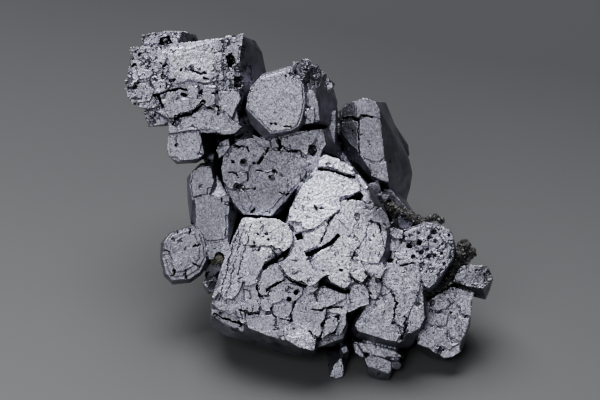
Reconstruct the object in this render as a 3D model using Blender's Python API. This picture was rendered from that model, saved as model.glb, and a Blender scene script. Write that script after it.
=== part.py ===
"""Galena specimen: a cluster of intergrown cubo-octahedral crystals with stepped, platy faces.

The lead-grey crystals grew into each other, so they are one solid. Two dark brown crusts and one
pale grain of other minerals sit in pockets of it, each as its own solid.

The crystals are laid out on a flat drawing of the specimen's face. A point of the drawing is given
in squares of a quarter of a millimetre, to the right and down from the sheet's top left corner, and
a height is given in millimetres out of the sheet, towards the viewer. The whole drawing then leans
back over the ground by LEAN_BACK, and the ground cuts the undersides flat where they rest.
"""

import math
import random

import bmesh
import bpy
from mathutils import Euler, Matrix, Vector

MM = 0.001
SQUARE = 0.25 * MM
SHEET_MIDDLE = (300, 200)
LEAN_BACK = math.radians(40)
FOOT = (380, 382)
FOOT_OUT = 0.6
GROUND_SIDE = 0.3
PLATE_ROOT = 1.6
PIT_TOP = 3.5
LUMP_OUT = -13.4
LUMP_FROM = 350
LUMP_RISE = 0.09
BOWL_LEAST = 0.9
BOWL_SHARE = 0.22
RAGGED_STEP = 27.0
RAGGED_BY = 0.75
POCKET_GAP = 0.3
POCKET_CORNER = 1.3
WELD = 0.000005
FLAT = math.radians(0.5)

CRUST_LUMPS = [
    (464, 246, -1.6, 2.2), (470, 253, -2.4, 2.0), (459, 254, -1.0, 2.4), (465, 260, -2.0, 1.9),
    (455, 264, -0.7, 2.1), (451, 272, -0.4, 1.8), (448, 278, -0.5, 1.7), (444, 284, -0.6, 1.6),
    (438, 288, -0.4, 1.5), (432, 291.5, -0.3, 1.4), (427, 294, -0.2, 1.2),
]
RIDGE_LUMPS = [
    (386, 204, -9.6, 1.5), (392, 207, -9.0, 1.8), (399, 209.5, -8.2, 1.7), (405, 212.5, -7.3, 1.6),
    (411, 215.5, -6.3, 1.6), (417, 219, -5.2, 1.5), (423, 221, -4.2, 1.4), (429, 219.5, -3.5, 1.4),
    (435, 217.5, -3.2, 1.3), (441, 220.5, -3.3, 1.3),
]

GALENA_GREY = (0.34, 0.35, 0.37)
SPHALERITE_BROWN = (0.055, 0.045, 0.038)
CALCITE_TAN = (0.42, 0.39, 0.30)


def clear_scene():
    for obj in list(bpy.data.objects):
        bpy.data.objects.remove(obj)


def new_collection(name, shown=True):
    collection = bpy.data.collections.new(name)
    bpy.context.scene.collection.children.link(collection)
    collection.hide_render = not shown
    return collection


def new_material(name, colour, metallic, roughness):
    material = bpy.data.materials.new(name)
    material.use_nodes = True
    surface = material.node_tree.nodes["Principled BSDF"]
    surface.inputs["Base Color"].default_value = (*colour, 1)
    surface.inputs["Metallic"].default_value = metallic
    surface.inputs["Roughness"].default_value = roughness
    material.diffuse_color = (*colour, 1)
    return material


def on_sheet(point, out):
    """The place in metres of a drawn point that stands out of the sheet by so many millimetres."""
    across = (point[0] - SHEET_MIDDLE[0]) * SQUARE
    up = (SHEET_MIDDLE[1] - point[1]) * SQUARE
    return Vector((across, up, out * MM))


def add_object(name, mesh, collection, stand, helper=False):
    obj = bpy.data.objects.new(name, mesh)
    collection.objects.link(obj)
    obj.parent = stand
    if helper:
        obj.hide_render = True
        obj.display_type = "WIRE"
    return obj


def hull_mesh(name, points):
    """The flat-faced convex solid around the points."""
    bm = bmesh.new()
    for point in points:
        bm.verts.new(point)
    found = bmesh.ops.convex_hull(bm, input=bm.verts)
    loose = {
        v
        for v in found["geom_interior"] + found["geom_unused"] if isinstance(v, bmesh.types.BMVert)
    }
    bmesh.ops.delete(bm, geom=list(loose), context="VERTS")
    bmesh.ops.dissolve_limit(bm, angle_limit=FLAT, verts=bm.verts, edges=bm.edges)
    bmesh.ops.recalc_face_normals(bm, faces=bm.faces)
    mesh = bpy.data.meshes.new(name)
    bm.to_mesh(mesh)
    bm.free()
    return mesh


def ragged(outline, seed):
    """The outline with its long edges broken into short uneven ones, as a grown ledge has."""
    rng = random.Random(seed)
    points = []
    for start, end in zip(outline, outline[1:] + outline[:1]):
        start, end = Vector(start), Vector(end)
        edge = end - start
        count = max(1, round(edge.length / RAGGED_STEP))
        sideways = Vector((-edge.y, edge.x)).normalized()
        points.append(start)
        for i in range(1, count):
            along = (i + rng.uniform(-0.25, 0.25)) / count
            points.append(start + edge * along + sideways * rng.uniform(-RAGGED_BY, RAGGED_BY))
    return points


def prism_mesh(name, outline, thickness):
    """A flat plate in metres: the outline, extruded evenly to both sides of the XY plane."""
    curve = bpy.data.curves.new(name, "CURVE")
    curve.dimensions = "2D"
    curve.fill_mode = "BOTH"
    curve.extrude = thickness / 2
    spline = curve.splines.new("POLY")
    spline.points.add(len(outline) - 1)
    for knot, point in zip(spline.points, outline):
        knot.co = (point[0], point[1], 0, 1)
    spline.use_cyclic_u = True
    drawn = bpy.data.objects.new(name, curve)
    bpy.context.scene.collection.objects.link(drawn)
    bpy.context.view_layer.update()
    mesh = bpy.data.meshes.new_from_object(drawn.evaluated_get(bpy.context.evaluated_depsgraph_get()))
    bpy.data.objects.remove(drawn)
    bm = bmesh.new()
    bm.from_mesh(mesh)
    bmesh.ops.remove_doubles(bm, verts=bm.verts, dist=1e-6)
    bmesh.ops.recalc_face_normals(bm, faces=bm.faces)
    bm.to_mesh(mesh)
    bm.free()
    return mesh


class Face:
    """A crystal's front face: a plane over the sheet, as its height at a pivot and its two slopes."""

    def __init__(self, pivot, out, slope=(0.0, 0.0)):
        self.pivot = pivot
        self.out = out
        self.slope = slope

    def height(self, point):
        """How far the face stands out of the sheet at a drawn point, in millimetres."""
        right = (point[0] - self.pivot[0]) * SQUARE / MM
        down = (point[1] - self.pivot[1]) * SQUARE / MM
        return self.out + self.slope[0] * right + self.slope[1] * down

    def lay(self, flat_height):
        """The shear that lays a plate of the XY plane on this face, so many millimetres over it."""
        pivot = on_sheet(self.pivot, self.out + flat_height)
        shear = Matrix.Identity(4)
        shear[2][0] = self.slope[0]
        shear[2][1] = -self.slope[1]
        shear[2][3] = pivot.z - self.slope[0] * pivot.x + self.slope[1] * pivot.y
        return shear


class Cluster:
    """Collects the shapes that are grown together and those that are cut out of them."""

    def __init__(self, stand, grown, cut):
        self.stand = stand
        self.grown = grown
        self.cut = cut
        self.count = 0

    def crystal(self, name, face, front, behind):
        """A flat-faced crystal from its front outline and the outlines of its body behind it."""
        points = [on_sheet(p, face.height(p)) for p in front]
        for out, outline in behind:
            points += [on_sheet(p, out) for p in outline]
        return add_object(name, hull_mesh(name, points), self.grown, self.stand, helper=True)

    def plate(self, face, proud, outline):
        """A ledge that stands so many millimetres proud of a face, with its root inside the crystal."""
        self.count += 1
        name = f"ledge_{self.count:03d}"
        points = [on_sheet(p, 0).to_2d() for p in ragged(outline, self.count)]
        mesh = prism_mesh(name, points, (proud + PLATE_ROOT) * MM)
        mesh.transform(face.lay((proud - PLATE_ROOT) / 2))
        add_object(name, mesh, self.grown, self.stand, helper=True)

    def pit(self, face, middle, radius, depth, lean=(0.0, 0.0)):
        """A round etched hole that narrows a little towards its bottom."""
        self.count += 1
        bm = bmesh.new()
        bmesh.ops.create_cone(
            bm,
            cap_ends=True,
            segments=6,
            radius1=radius * SQUARE * 0.7,
            radius2=radius * SQUARE * 1.2,
            depth=(depth + PIT_TOP) * MM,
        )
        mesh = bpy.data.meshes.new(f"pit_{self.count:03d}")
        bm.to_mesh(mesh)
        bm.free()
        mesh.transform(Matrix.Translation((0, 0, (PIT_TOP - depth) / 2 * MM)))
        mesh.transform(Euler((lean[0], lean[1], 0.3 * self.count)).to_matrix().to_4x4())
        mesh.transform(Matrix.Translation(on_sheet(middle, face.height(middle))))
        add_object(mesh.name, mesh, self.cut, self.stand, helper=True)

    def hollow(self, face, outline, depth):
        """A hole with a drawn outline, cut so many millimetres into a face."""
        self.count += 1
        name = f"hollow_{self.count:03d}"
        points = [on_sheet(p, 0).to_2d() for p in outline]
        mesh = prism_mesh(name, points, (depth + PIT_TOP) * MM)
        mesh.transform(face.lay((PIT_TOP - depth) / 2))
        add_object(name, mesh, self.cut, self.stand, helper=True)

    def cuboctahedron(self, name, middle, out, half, turn, corner=0.72, ledge=0.7):
        """A cube with its corners cut by octahedral faces, and growth ledges on its cube faces."""
        turned = Matrix.Translation(on_sheet(middle, out)) @ Euler(turn).to_matrix().to_4x4()
        bm = bmesh.new()
        bmesh.ops.create_cube(bm, size=2 * half * MM)
        reach = 3 * half * MM * corner / math.sqrt(3)
        for sx in (-1, 1):
            for sy in (-1, 1):
                for sz in (-1, 1):
                    normal = Vector((sx, sy, sz)).normalized()
                    cut = bmesh.ops.bisect_plane(
                        bm,
                        geom=bm.verts[:] + bm.edges[:] + bm.faces[:],
                        plane_co=normal * reach,
                        plane_no=normal,
                        clear_outer=True,
                    )
                    rim = [e for e in cut["geom_cut"] if isinstance(e, bmesh.types.BMEdge)]
                    if rim:
                        bmesh.ops.contextual_create(bm, geom=rim)
        bmesh.ops.recalc_face_normals(bm, faces=bm.faces)
        mesh = bpy.data.meshes.new(name)
        bm.to_mesh(mesh)
        bm.free()
        mesh.transform(turned)
        add_object(name, mesh, self.grown, self.stand, helper=True)
        if ledge:
            self.face_ledges(name, half, turned, ledge)

    def face_ledges(self, name, half, turned, ledge):
        """Notched square growth ledges on three of the cube faces."""
        sides = [(-90, 0, 0), (0, -90, 0), (180, 0, 0)]
        for number, side in enumerate(sides):
            rng = random.Random(f"{name} {number}")
            reach = half * rng.uniform(0.55, 0.7)
            notch = [reach * rng.uniform(0.25, 0.55) for _ in range(4)]
            outline = [
                (reach, -reach + notch[0]),
                (reach, reach - notch[1]),
                (reach - notch[1], reach),
                (-reach + notch[2], reach),
                (-reach, -reach + notch[3]),
                (-reach + notch[3] * 0.7, -reach + notch[3]),
                (reach - notch[0], -reach),
            ]
            mesh = prism_mesh(f"{name}_ledge_{number}", [Vector(p) * MM for p in outline], 2 * ledge * MM)
            mesh.transform(Matrix.Translation((0, 0, half * MM)))
            mesh.transform(Euler([math.radians(a) for a in side]).to_matrix().to_4x4())
            mesh.transform(turned)
            add_object(mesh.name, mesh, self.grown, self.stand, helper=True)


def high_left_block(c):
    """The pitted block at the top left, with its stepped lower edge and the small crest behind it."""
    face = Face((185, 85), 1.2, (0.0, 0.05))
    front = [
        (131, 49), (179, 49), (208, 44), (242, 36), (239, 52), (239, 100), (230, 117), (200, 124),
        (168, 118), (142, 104), (129, 92), (128, 72),
    ]
    waist = [
        (246, 35), (255, 40), (262, 52), (266, 72), (262, 96), (238, 122), (170, 126), (136, 104),
        (134, 60),
    ]
    back = [(145, 55), (200, 48), (248, 42), (260, 70), (250, 110), (200, 120), (150, 104)]
    c.crystal("high_left", face, front, [(-6, waist), (-15, back)])
    c.plate(
        face, 0.9,
        [
            (130, 47), (150, 48), (166, 49), (166, 60), (162, 66), (164, 76), (160, 81), (148, 78),
            (138, 80), (127, 76), (130, 62),
        ],
    )
    c.plate(
        face, 1.3,
        [
            (167, 48), (190, 48), (208, 43), (222, 39), (223, 52), (222, 66), (224, 80), (205, 84),
            (190, 80), (176, 84), (168, 78), (170, 66), (168, 58),
        ],
    )
    c.plate(
        face, 1.2,
        [
            (226, 37), (244, 34), (241, 50), (240, 62), (234, 66), (236, 74), (234, 88), (226, 86),
            (226, 70), (224, 60),
        ],
    )
    c.plate(face, 1.6, [(129.2, 73.4), (137, 70), (139, 80), (134, 87), (129, 87.5), (125, 83)])
    c.plate(
        face, 0.7,
        [(126, 88), (140, 84), (150, 84), (154, 94), (150, 101), (140, 103), (133, 104), (128, 97)],
    )
    c.plate(face, 1.1, [(152, 82), (164, 80), (172, 84), (168, 90), (156, 94)])
    c.plate(face, 1.6, [(160, 95), (170, 92), (176, 94), (180, 98), (174, 99), (162, 100)])
    c.plate(face, 1.7, [(189, 87), (197, 86), (199, 92), (197, 98), (188, 98), (187, 91)])
    c.plate(face, 1.5, [(204, 86), (216, 86), (215, 96), (216, 106), (206, 107), (201, 100), (203, 92)])
    c.plate(
        face, 1.4,
        [(218, 84), (226, 88), (238, 90), (241, 99), (236, 108), (232, 118), (226, 112), (219, 109)],
    )
    c.plate(
        face, 1.6,
        [
            (162, 101), (176, 99), (187, 99), (198, 99), (203, 103), (196, 108), (189, 112),
            (179, 113), (177, 117), (170, 118), (166, 113),
        ],
    )
    low = Face((200, 120), 0.8, (0.0, 0.02))
    low_body = [(170, 130), (236, 130), (232, 118), (166, 112)]
    c.crystal(
        "high_left_step", low,
        [(166, 108), (236, 108), (240, 126), (232, 133), (212, 128), (200, 128), (169, 133)],
        [(-7, low_body)],
    )
    c.plate(
        low, 1.3,
        [
            (179, 118), (192, 115), (203, 108), (216, 110), (228, 114), (233, 120), (242, 127),
            (234, 134), (222, 135), (211, 129), (200, 129), (169, 134), (168, 122), (175, 118),
            (176, 126), (179, 125),
        ],
    )
    c.plate(face, 0.3, [(139, 108), (140, 102), (152, 100), (159, 103), (156, 108), (148, 109)])
    block = Face((186, 147), 0.5, (0.0, 0.03))
    c.crystal(
        "under_block", block,
        [(168, 135), (200, 132), (202, 148), (204, 154), (199, 159), (179, 162), (170, 158), (167, 152)],
        [
            (-6, [(170, 136), (201, 134), (205, 156), (196, 163), (176, 164)]),
            (-11, [(180, 135), (215, 130), (214, 152), (190, 156)]),
        ],
    )
    c.plate(
        block, 0.7,
        [
            (177, 134), (200, 131), (202, 142), (200, 150), (204, 154), (198, 159), (180, 161),
            (178, 157), (170, 157), (171, 148), (177, 148),
        ],
    )
    c.crystal(
        "left_ledge", Face((156, 118), -0.4),
        [(144, 112), (166, 110), (169, 121), (164, 125), (149, 126)],
        [
            (-2.2, [(144, 111), (172, 108), (172, 123), (166, 126), (148, 127)]),
            (-9, [(154, 112), (172, 108), (172, 122), (156, 122)]),
        ],
    )
    c.crystal(
        "neck", Face((212, 144), -11.0, (0.0, 0.0)),
        [(200, 130), (222, 126), (226, 150), (212, 162), (202, 158)],
        [(-20, [(198, 126), (232, 122), (232, 160), (206, 168)])],
    )
    crest = Face((160, 42), -6.5, (0.0, 0.1))
    c.crystal(
        "crest", crest,
        [(140, 34), (154, 31), (168, 30), (178, 40), (179, 52), (142, 52)],
        [
            (-8, [(170, 29.5), (181, 30), (179, 52)]),
            (-15, [(158, 31), (184, 30), (195, 33), (198, 39), (197, 54), (156, 54)]),
        ],
    )
    c.hollow(crest, [(157, 47), (160, 36.5), (168, 35.5), (176, 49)], 3.0)
    c.hollow(face, [(225, 57), (231, 53), (235, 57), (237, 62), (233, 66), (231, 70), (226, 63)], 3.5)
    c.hollow(face, [(234, 76), (242, 76), (242, 88), (234, 88)], 2.5)


def hexagon_crystal(c):
    """The smooth six-sided crystal at the top, standing proud of the face behind it."""
    face = Face((277, 104), 2.0, (0.01, 0.03))
    hexagon = [
        (246, 108), (248, 98), (251, 88), (260, 77), (275, 72.5), (288, 68), (295, 77), (304, 85),
        (305, 104), (302, 118), (299, 126), (292, 130.5), (271, 134),
    ]
    bevel = [
        (262, 74), (288, 66), (300, 70), (309, 86), (310, 108), (307, 122), (298, 131), (276, 137.5),
        (264, 138.5), (250, 124), (245, 110),
    ]
    c.crystal(
        "hexagon", face, hexagon,
        [(-0.2, bevel), (-6, [(255, 92), (300, 78), (312, 112), (300, 126), (270, 132)])],
    )
    c.plate(
        face, 0.5,
        [
            (248, 108), (249, 98), (253, 88), (261, 79), (275, 74.5), (286, 71), (293, 79), (302, 87),
            (303, 103), (300, 117), (297, 125), (290, 129), (272, 132),
        ],
    )
    wing = Face((314, 106), 0.4, (0.0, 0.0))
    c.crystal(
        "hexagon_wing", wing,
        [(300, 72), (309, 91), (315, 94), (319, 108), (320, 121), (308, 124), (296, 122)],
        [
            (-2, [(292, 64), (304, 63), (318, 70), (322, 80), (320, 124), (296, 126)]),
            (-14, [(300, 72), (326, 82), (334, 88), (338, 101), (336, 126), (300, 130)]),
        ],
    )
    c.crystal(
        "wing_root", Face((330, 150), -9.0),
        [(324, 124), (336, 110), (335, 150), (326, 160), (322, 150)],
        [(-22, [(318, 122), (338, 106), (342, 150), (336, 190), (322, 170)])],
    )
    c.plate(wing, 1.0, [(309, 92), (315, 94), (318, 103), (320, 121), (315, 120), (314, 110), (309, 106)])
    c.plate(wing, 1.4, [(307, 109), (314, 108), (315, 117), (313, 124), (308, 119), (306, 116)])
    rim = (
        (298, 68, 0.0, 1.5), (306, 67, -1.0, 1.6), (303, 76, 0.5, 1.3), (313, 72, -2.0, 1.7),
        (320, 77, -4.6, 1.3), (327, 86, -7.4, 1.5),
    )
    for x, y, out, half in rim:
        c.cuboctahedron(f"rim_{x}", (x, y), out, half, (0.4, x * 0.1, y * 0.2), ledge=0)


def middle_face(c):
    """The broad scalloped face under the hexagon, and the small plates along its upper edge."""
    face = Face((272, 178), -2.0, (-0.03, -0.02))
    front = [
        (224, 150), (240, 140), (300, 131), (323, 130), (325, 146), (317, 162), (303, 181),
        (290, 194), (271, 216), (243, 214), (233, 203), (226, 186), (222, 165),
    ]
    back = [
        (235, 140), (300, 122), (340, 120), (346, 160), (335, 195), (285, 218), (248, 212),
        (238, 170),
    ]
    c.crystal(
        "middle", face, front,
        [(-12, [(330, 132), (340, 150), (310, 185), (274, 220), (240, 216), (226, 190)]), (-23, back)],
    )
    c.plate(
        face, 1.5,
        [
            (281, 138), (300, 134), (312, 130), (323, 129), (326, 144), (322, 150), (319, 147),
            (317, 139), (312, 144), (309, 147), (311, 150), (306, 155), (300, 150), (290, 149),
            (281, 145),
        ],
    )
    c.plate(face, 1.6, [(252, 134), (260, 138), (270, 141), (270, 147), (262, 147), (254, 140)])
    c.plate(face, 0.9, [(271, 139), (277, 138), (279, 147), (272, 148)])
    c.plate(face, 1.3, [(220, 142), (229, 139), (230, 147), (226, 153), (219, 158), (216, 150)])
    c.plate(
        face, 1.0,
        [
            (233, 147), (241, 149), (246, 145), (256, 150), (264, 149), (266, 153), (260, 158),
            (257, 163), (250, 165), (248, 173), (247, 180), (240, 184), (235, 190), (229, 189),
            (223, 181), (221, 167), (229, 158),
        ],
    )
    c.plate(
        face, 0.5,
        [
            (268, 150), (290, 152), (300, 153), (309, 158), (314, 163), (303, 178), (289, 192),
            (282, 196), (272, 208), (262, 213), (250, 205), (246, 190), (254, 189), (256, 180),
            (262, 172), (272, 170), (276, 163), (268, 160), (264, 157),
        ],
    )
    c.plate(
        face, 0.9,
        [(238, 189), (244, 186), (247, 194), (252, 204), (248, 212), (242, 208), (240, 200)],
    )
    for middle, radius, depth in (
        ((233, 162), 1.9, 1.6), ((243, 162), 2.6, 0.9), ((274, 171), 2.6, 1.5), ((270, 177), 1.9, 1.2),
        ((238, 187), 3.2, 0.8), ((254, 163), 1.8, 0.8),
    ):
        c.pit(face, middle, radius, depth)
    c.hollow(face, [(309.3, 144.6), (315.4, 145.2), (317.2, 151.3), (313.1, 157.4), (307.8, 151.7)], 2.4)


def left_column(c):
    """The smooth column at the left and the rounded crystal at its foot."""
    face = Face((211, 215), -2.8, (0.0, 0.0))
    front = [
        (197, 197), (228, 196), (228, 226), (225, 240), (227, 250), (212, 258), (206, 250),
        (197, 224),
    ]
    flank = [
        (190, 176), (202, 166), (213, 168), (232, 195), (240, 204), (237, 220), (231, 242),
        (225, 257), (209, 260), (191, 224), (187, 198),
    ]
    c.crystal(
        "column", face, front,
        [(-6.5, flank), (-18, [(200, 175), (225, 170), (245, 200), (242, 240), (225, 252), (204, 240)])],
    )
    upper = Face((201, 181), -2.4, (0.0, 0.05))
    c.crystal(
        "column_head", upper,
        [(191, 172), (201, 165), (211, 167), (214, 182), (208, 190), (207, 200), (192, 200), (189, 185)],
        [
            (-6.5, [(186, 178), (200, 163), (216, 168), (218, 190), (200, 222), (190, 224), (187, 200)]),
            (-18, [(200, 168), (225, 160), (225, 200), (200, 200)]),
        ],
    )
    c.plate(
        upper, 0.6,
        [
            (193, 171), (201, 166), (211, 168), (214, 181), (212, 187), (207, 188), (207, 194),
            (200, 195), (193, 197), (191, 184),
        ],
    )
    c.plate(
        face, 0.7,
        [
            (195, 198), (202, 195), (229, 196), (229, 214), (225, 216), (226, 226), (225, 239),
            (218, 240), (208, 241), (205, 239), (201, 232), (196, 224),
        ],
    )
    c.plate(
        face, 0.4,
        [
            (207, 244), (215, 243), (229, 242), (230, 250), (226, 257), (217, 259.5), (209, 260),
            (207, 252),
        ],
    )
    low = Face((185, 253), -2.6, (0.04, 0.03))
    knob = [
        (163, 243), (169, 235), (179, 231), (192, 226), (200, 231), (205, 243), (206, 260),
        (200, 272), (190, 279), (172, 281), (166, 273), (162, 258),
    ]
    rim = [
        (160, 243), (168, 233), (180, 228), (196, 223.5), (204, 234), (208, 250), (207, 264),
        (200, 276), (190, 283), (172, 285), (163, 276), (159, 258),
    ]
    c.crystal(
        "knob", low, knob,
        [(-4.6, rim), (-12, [(172, 240), (198, 228), (215, 240), (212, 262), (190, 277), (174, 270)])],
    )
    c.plate(
        low, 0.45,
        [
            (166, 243), (172, 236), (182, 232), (192, 229), (199, 234), (203, 246), (204, 258),
            (198, 269), (189, 275), (174, 277), (169, 270), (165, 257),
        ],
    )
    c.plate(
        low, 0.8,
        [
            (171, 243), (184, 235), (194, 233), (199, 247), (199, 258), (192, 267), (184, 271),
            (176, 272), (172, 264), (170, 254),
        ],
    )
    c.hollow(face, [(213.6, 262.5), (214.7, 254.4), (218.9, 251.6), (223.2, 254.1), (224.1, 262.8)], 2.6)
    c.crystal(
        "shade_block", Face((213, 275), -8.0),
        [(204, 262), (224, 258), (222, 278), (212, 291), (205, 285)],
        [(-17, [(208, 258), (232, 252), (232, 290), (214, 288)])],
    )
    c.cuboctahedron("stub", (211, 285), -1.6, 1.7, (0.3, 0.2, 0.5), ledge=0)


def front_slab(c):
    """The large tilted slab at the lower left, with its broken upper plates."""
    face = Face((268, 290), 6.4, (0.05, 0.10))
    front = [
        (244, 218), (262, 219), (284, 224), (292, 234), (322, 315), (313, 349), (284, 339),
        (246, 326), (213, 303), (223, 266),
    ]
    keel = [
        (210, 304), (210, 325), (226, 336), (245, 340), (269, 348), (288, 355), (311, 357),
        (322, 345), (326, 300), (300, 230), (245, 217), (226, 260),
    ]
    back = [(216, 310), (245, 330), (290, 345), (320, 335), (320, 240), (252, 226)]
    c.crystal("slab", face, front, [(0.0, keel), (-13, back)])
    c.plate(
        face, 1.4,
        [
            (243, 218), (251, 221), (250, 240), (251, 252), (250, 262), (248, 270), (245, 278),
            (241, 287), (237, 295), (232, 299), (224, 298), (219, 292), (214.6, 299.2), (212, 297.6),
            (222, 266), (233, 239),
        ],
    )
    c.plate(
        face, 1.8,
        [
            (239.5, 224.5), (262, 218), (276, 219), (287, 224), (292, 231), (293, 240), (290, 248),
            (284, 252), (276, 249), (271, 246), (260, 246), (254, 244.5), (244, 245), (239, 235),
        ],
    )
    c.plate(
        face, 1.5,
        [
            (251.6, 247.6), (260, 247), (270, 247.4), (274, 253), (277, 258), (270, 259), (265, 262),
            (262, 268), (258, 276), (257, 283), (250, 285), (244.2, 286), (245.9, 279), (248.6, 271),
            (250.6, 260),
        ],
    )
    c.plate(
        face, 1.2,
        [
            (263, 271), (268, 268), (277, 267), (283, 272), (284, 279), (276, 282), (270, 286),
            (268, 294), (262, 295), (259, 292), (258, 285), (261, 278),
        ],
    )
    c.plate(
        face, 0.8,
        [(260, 297), (267, 296), (268, 301), (272, 306), (272, 311), (262, 310), (261, 303)],
    )
    c.plate(
        face, 1.8,
        [(241, 304), (246, 299), (256, 299), (260, 305), (258, 312), (250, 313), (243, 310)],
    )
    c.plate(face, 0.8, [(244, 289), (249, 290), (251, 297), (244, 299)])
    c.plate(
        face, 0.8,
        [(284, 284), (292, 283), (303, 287), (302, 295), (296, 300), (288, 301), (283, 298)],
    )
    c.plate(face, 0.6, [(270, 291), (283, 288), (282, 300), (273, 304), (268, 300)])
    c.plate(face, 0.9, [(273, 306), (292, 302), (294, 308), (290, 319), (280, 318), (273, 314)])
    c.plate(
        face, 1.0,
        [
            (295, 304), (304, 301), (320, 302), (326, 307), (326, 312), (323, 324), (319, 337),
            (308, 331), (292, 320),
        ],
    )
    c.plate(
        face, 0.8,
        [(246, 319), (258, 316), (272, 314), (290, 320), (284, 328), (284, 340), (262, 333), (248, 327)],
    )
    c.plate(
        face, 1.2,
        [(283, 330), (292, 321), (303, 326), (316, 338), (314, 350), (300, 347), (285, 339)],
    )
    c.plate(face, 0.4, [(212, 300), (236, 300), (245, 312), (245, 324), (228, 315), (212, 304)])
    c.plate(
        face, 0.9,
        [(325, 317), (329, 315), (337, 318), (338, 323), (335, 330), (329, 333), (321, 338), (323.6, 327)],
    )
    c.hollow(
        face,
        [(209, 307), (222, 310), (236, 317), (245, 326), (243, 332), (230, 326), (208, 317)],
        3.4,
    )
    c.hollow(
        face,
        [
            (291.7, 241.6), (288.8, 247.3), (284.2, 251.1), (276.9, 253.7), (270.2, 260.3),
            (264.4, 264.2), (262.3, 270.4), (266.2, 268.3), (272.1, 263.6), (277.6, 262.7),
            (284.3, 258.8), (288.2, 253.9),
        ],
        3.2,
    )
    toe = Face((330, 335), 3.2, (0.0, 0.1))
    c.crystal(
        "slab_toe", toe,
        [(316, 330), (336, 316), (345, 312), (348, 325), (343, 338), (318, 347)],
        [(-5, [(315, 345), (345, 346), (352, 330), (330, 310)])],
    )
    for middle in ((296, 292), (289, 299)):
        c.pit(face, middle, 3.0, 2.6)


def bright_apex(c):
    """The pointed crystal in the middle, tilted up to the light, and the broken plates below it."""
    face = Face((325, 195), 2.4, (0.02, 0.30))
    front = [
        (318, 167), (323, 157), (337, 160), (352, 169), (366, 186), (374, 206), (352, 216),
        (330, 226), (300, 232), (287, 222), (295, 200), (304, 183),
    ]
    body = [
        (316, 160), (325, 154), (354, 167), (369, 185), (386, 210), (390, 226), (350, 250),
        (300, 244), (284, 226), (300, 186),
    ]
    c.crystal(
        "apex", face, front,
        [(-4, body), (-14, [(320, 168), (352, 178), (380, 208), (370, 250), (300, 240), (300, 200)])],
    )
    c.plate(
        face, 1.6,
        [
            (317, 167), (320, 158), (324, 155), (337, 159), (352, 168), (356, 174), (349, 174),
            (341, 172), (334, 168), (326, 167),
        ],
    )
    c.plate(
        face, 1.2,
        [
            (311, 173), (319, 171), (332, 172), (345, 177), (352, 181), (359, 184), (361, 190),
            (356, 193), (348, 196), (340, 197), (339, 204), (338, 210), (331, 216), (326, 219),
            (321, 224), (312, 229), (303, 229), (301, 222), (295, 221), (287, 221), (290, 208),
            (297, 196), (303, 184),
        ],
    )
    c.plate(face, 0.8, [(357, 174), (363, 180), (368, 187), (366, 190), (361, 185), (358, 179)])
    c.plate(face, 0.7, [(361, 191), (367, 192), (374, 205), (368, 204), (362, 200), (363, 195)])
    c.hollow(
        face,
        [
            (344.3, 198.4), (350.2, 197.1), (355.1, 194.3), (360.4, 191.8), (363.6, 195.7),
            (360.8, 200.9), (352.1, 199.8), (345.7, 201.4),
        ],
        3.0,
    )
    c.hollow(
        face,
        [
            (317.7, 167.8), (327.3, 168.6), (335.2, 170.9), (345.3, 174.6), (356.2, 175.9),
            (355.8, 178.8), (345.1, 177.3), (335.9, 173.8), (327.8, 171.3), (317.9, 170.7),
        ],
        1.8,
    )
    rest = Face((315, 240), 5.2, (0.04, 0.22))
    c.crystal(
        "apex_foot", rest,
        [(294, 226), (330, 214), (345, 222), (345, 245), (310, 262), (296, 250)],
        [(-4, [(290, 224), (350, 215), (350, 260), (300, 262)])],
    )
    c.plate(
        rest, 1.0,
        [
            (302, 241), (304, 234), (312, 232), (320, 228), (324, 225), (326, 227), (323, 236),
            (320, 244), (310, 249), (304, 251), (301, 246),
        ],
    )
    c.plate(
        rest, 1.2,
        [(327, 227), (332, 220), (336, 219), (340, 224), (338, 232), (333, 238), (322, 244), (325, 236)],
    )
    c.hollow(
        rest,
        [
            (304.3, 252.6), (311.2, 250.1), (320.4, 246.9), (330.3, 240.6), (337.8, 232.7),
            (339.9, 236.3), (332.6, 244.2), (321.3, 250.2), (311.4, 256.3), (306.1, 256.2),
        ],
        3.0,
    )
    c.hollow(rest, [(294.4, 234.2), (301.7, 232.6), (303.3, 239.2), (297.2, 240.4)], 2.6)
    c.plate(rest, 0.5, [(295, 225), (300, 223), (303, 230), (297, 232), (294, 230)])
    c.plate(rest, 0.3, [(295, 241), (302, 240), (300, 247), (296, 244)])


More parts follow.
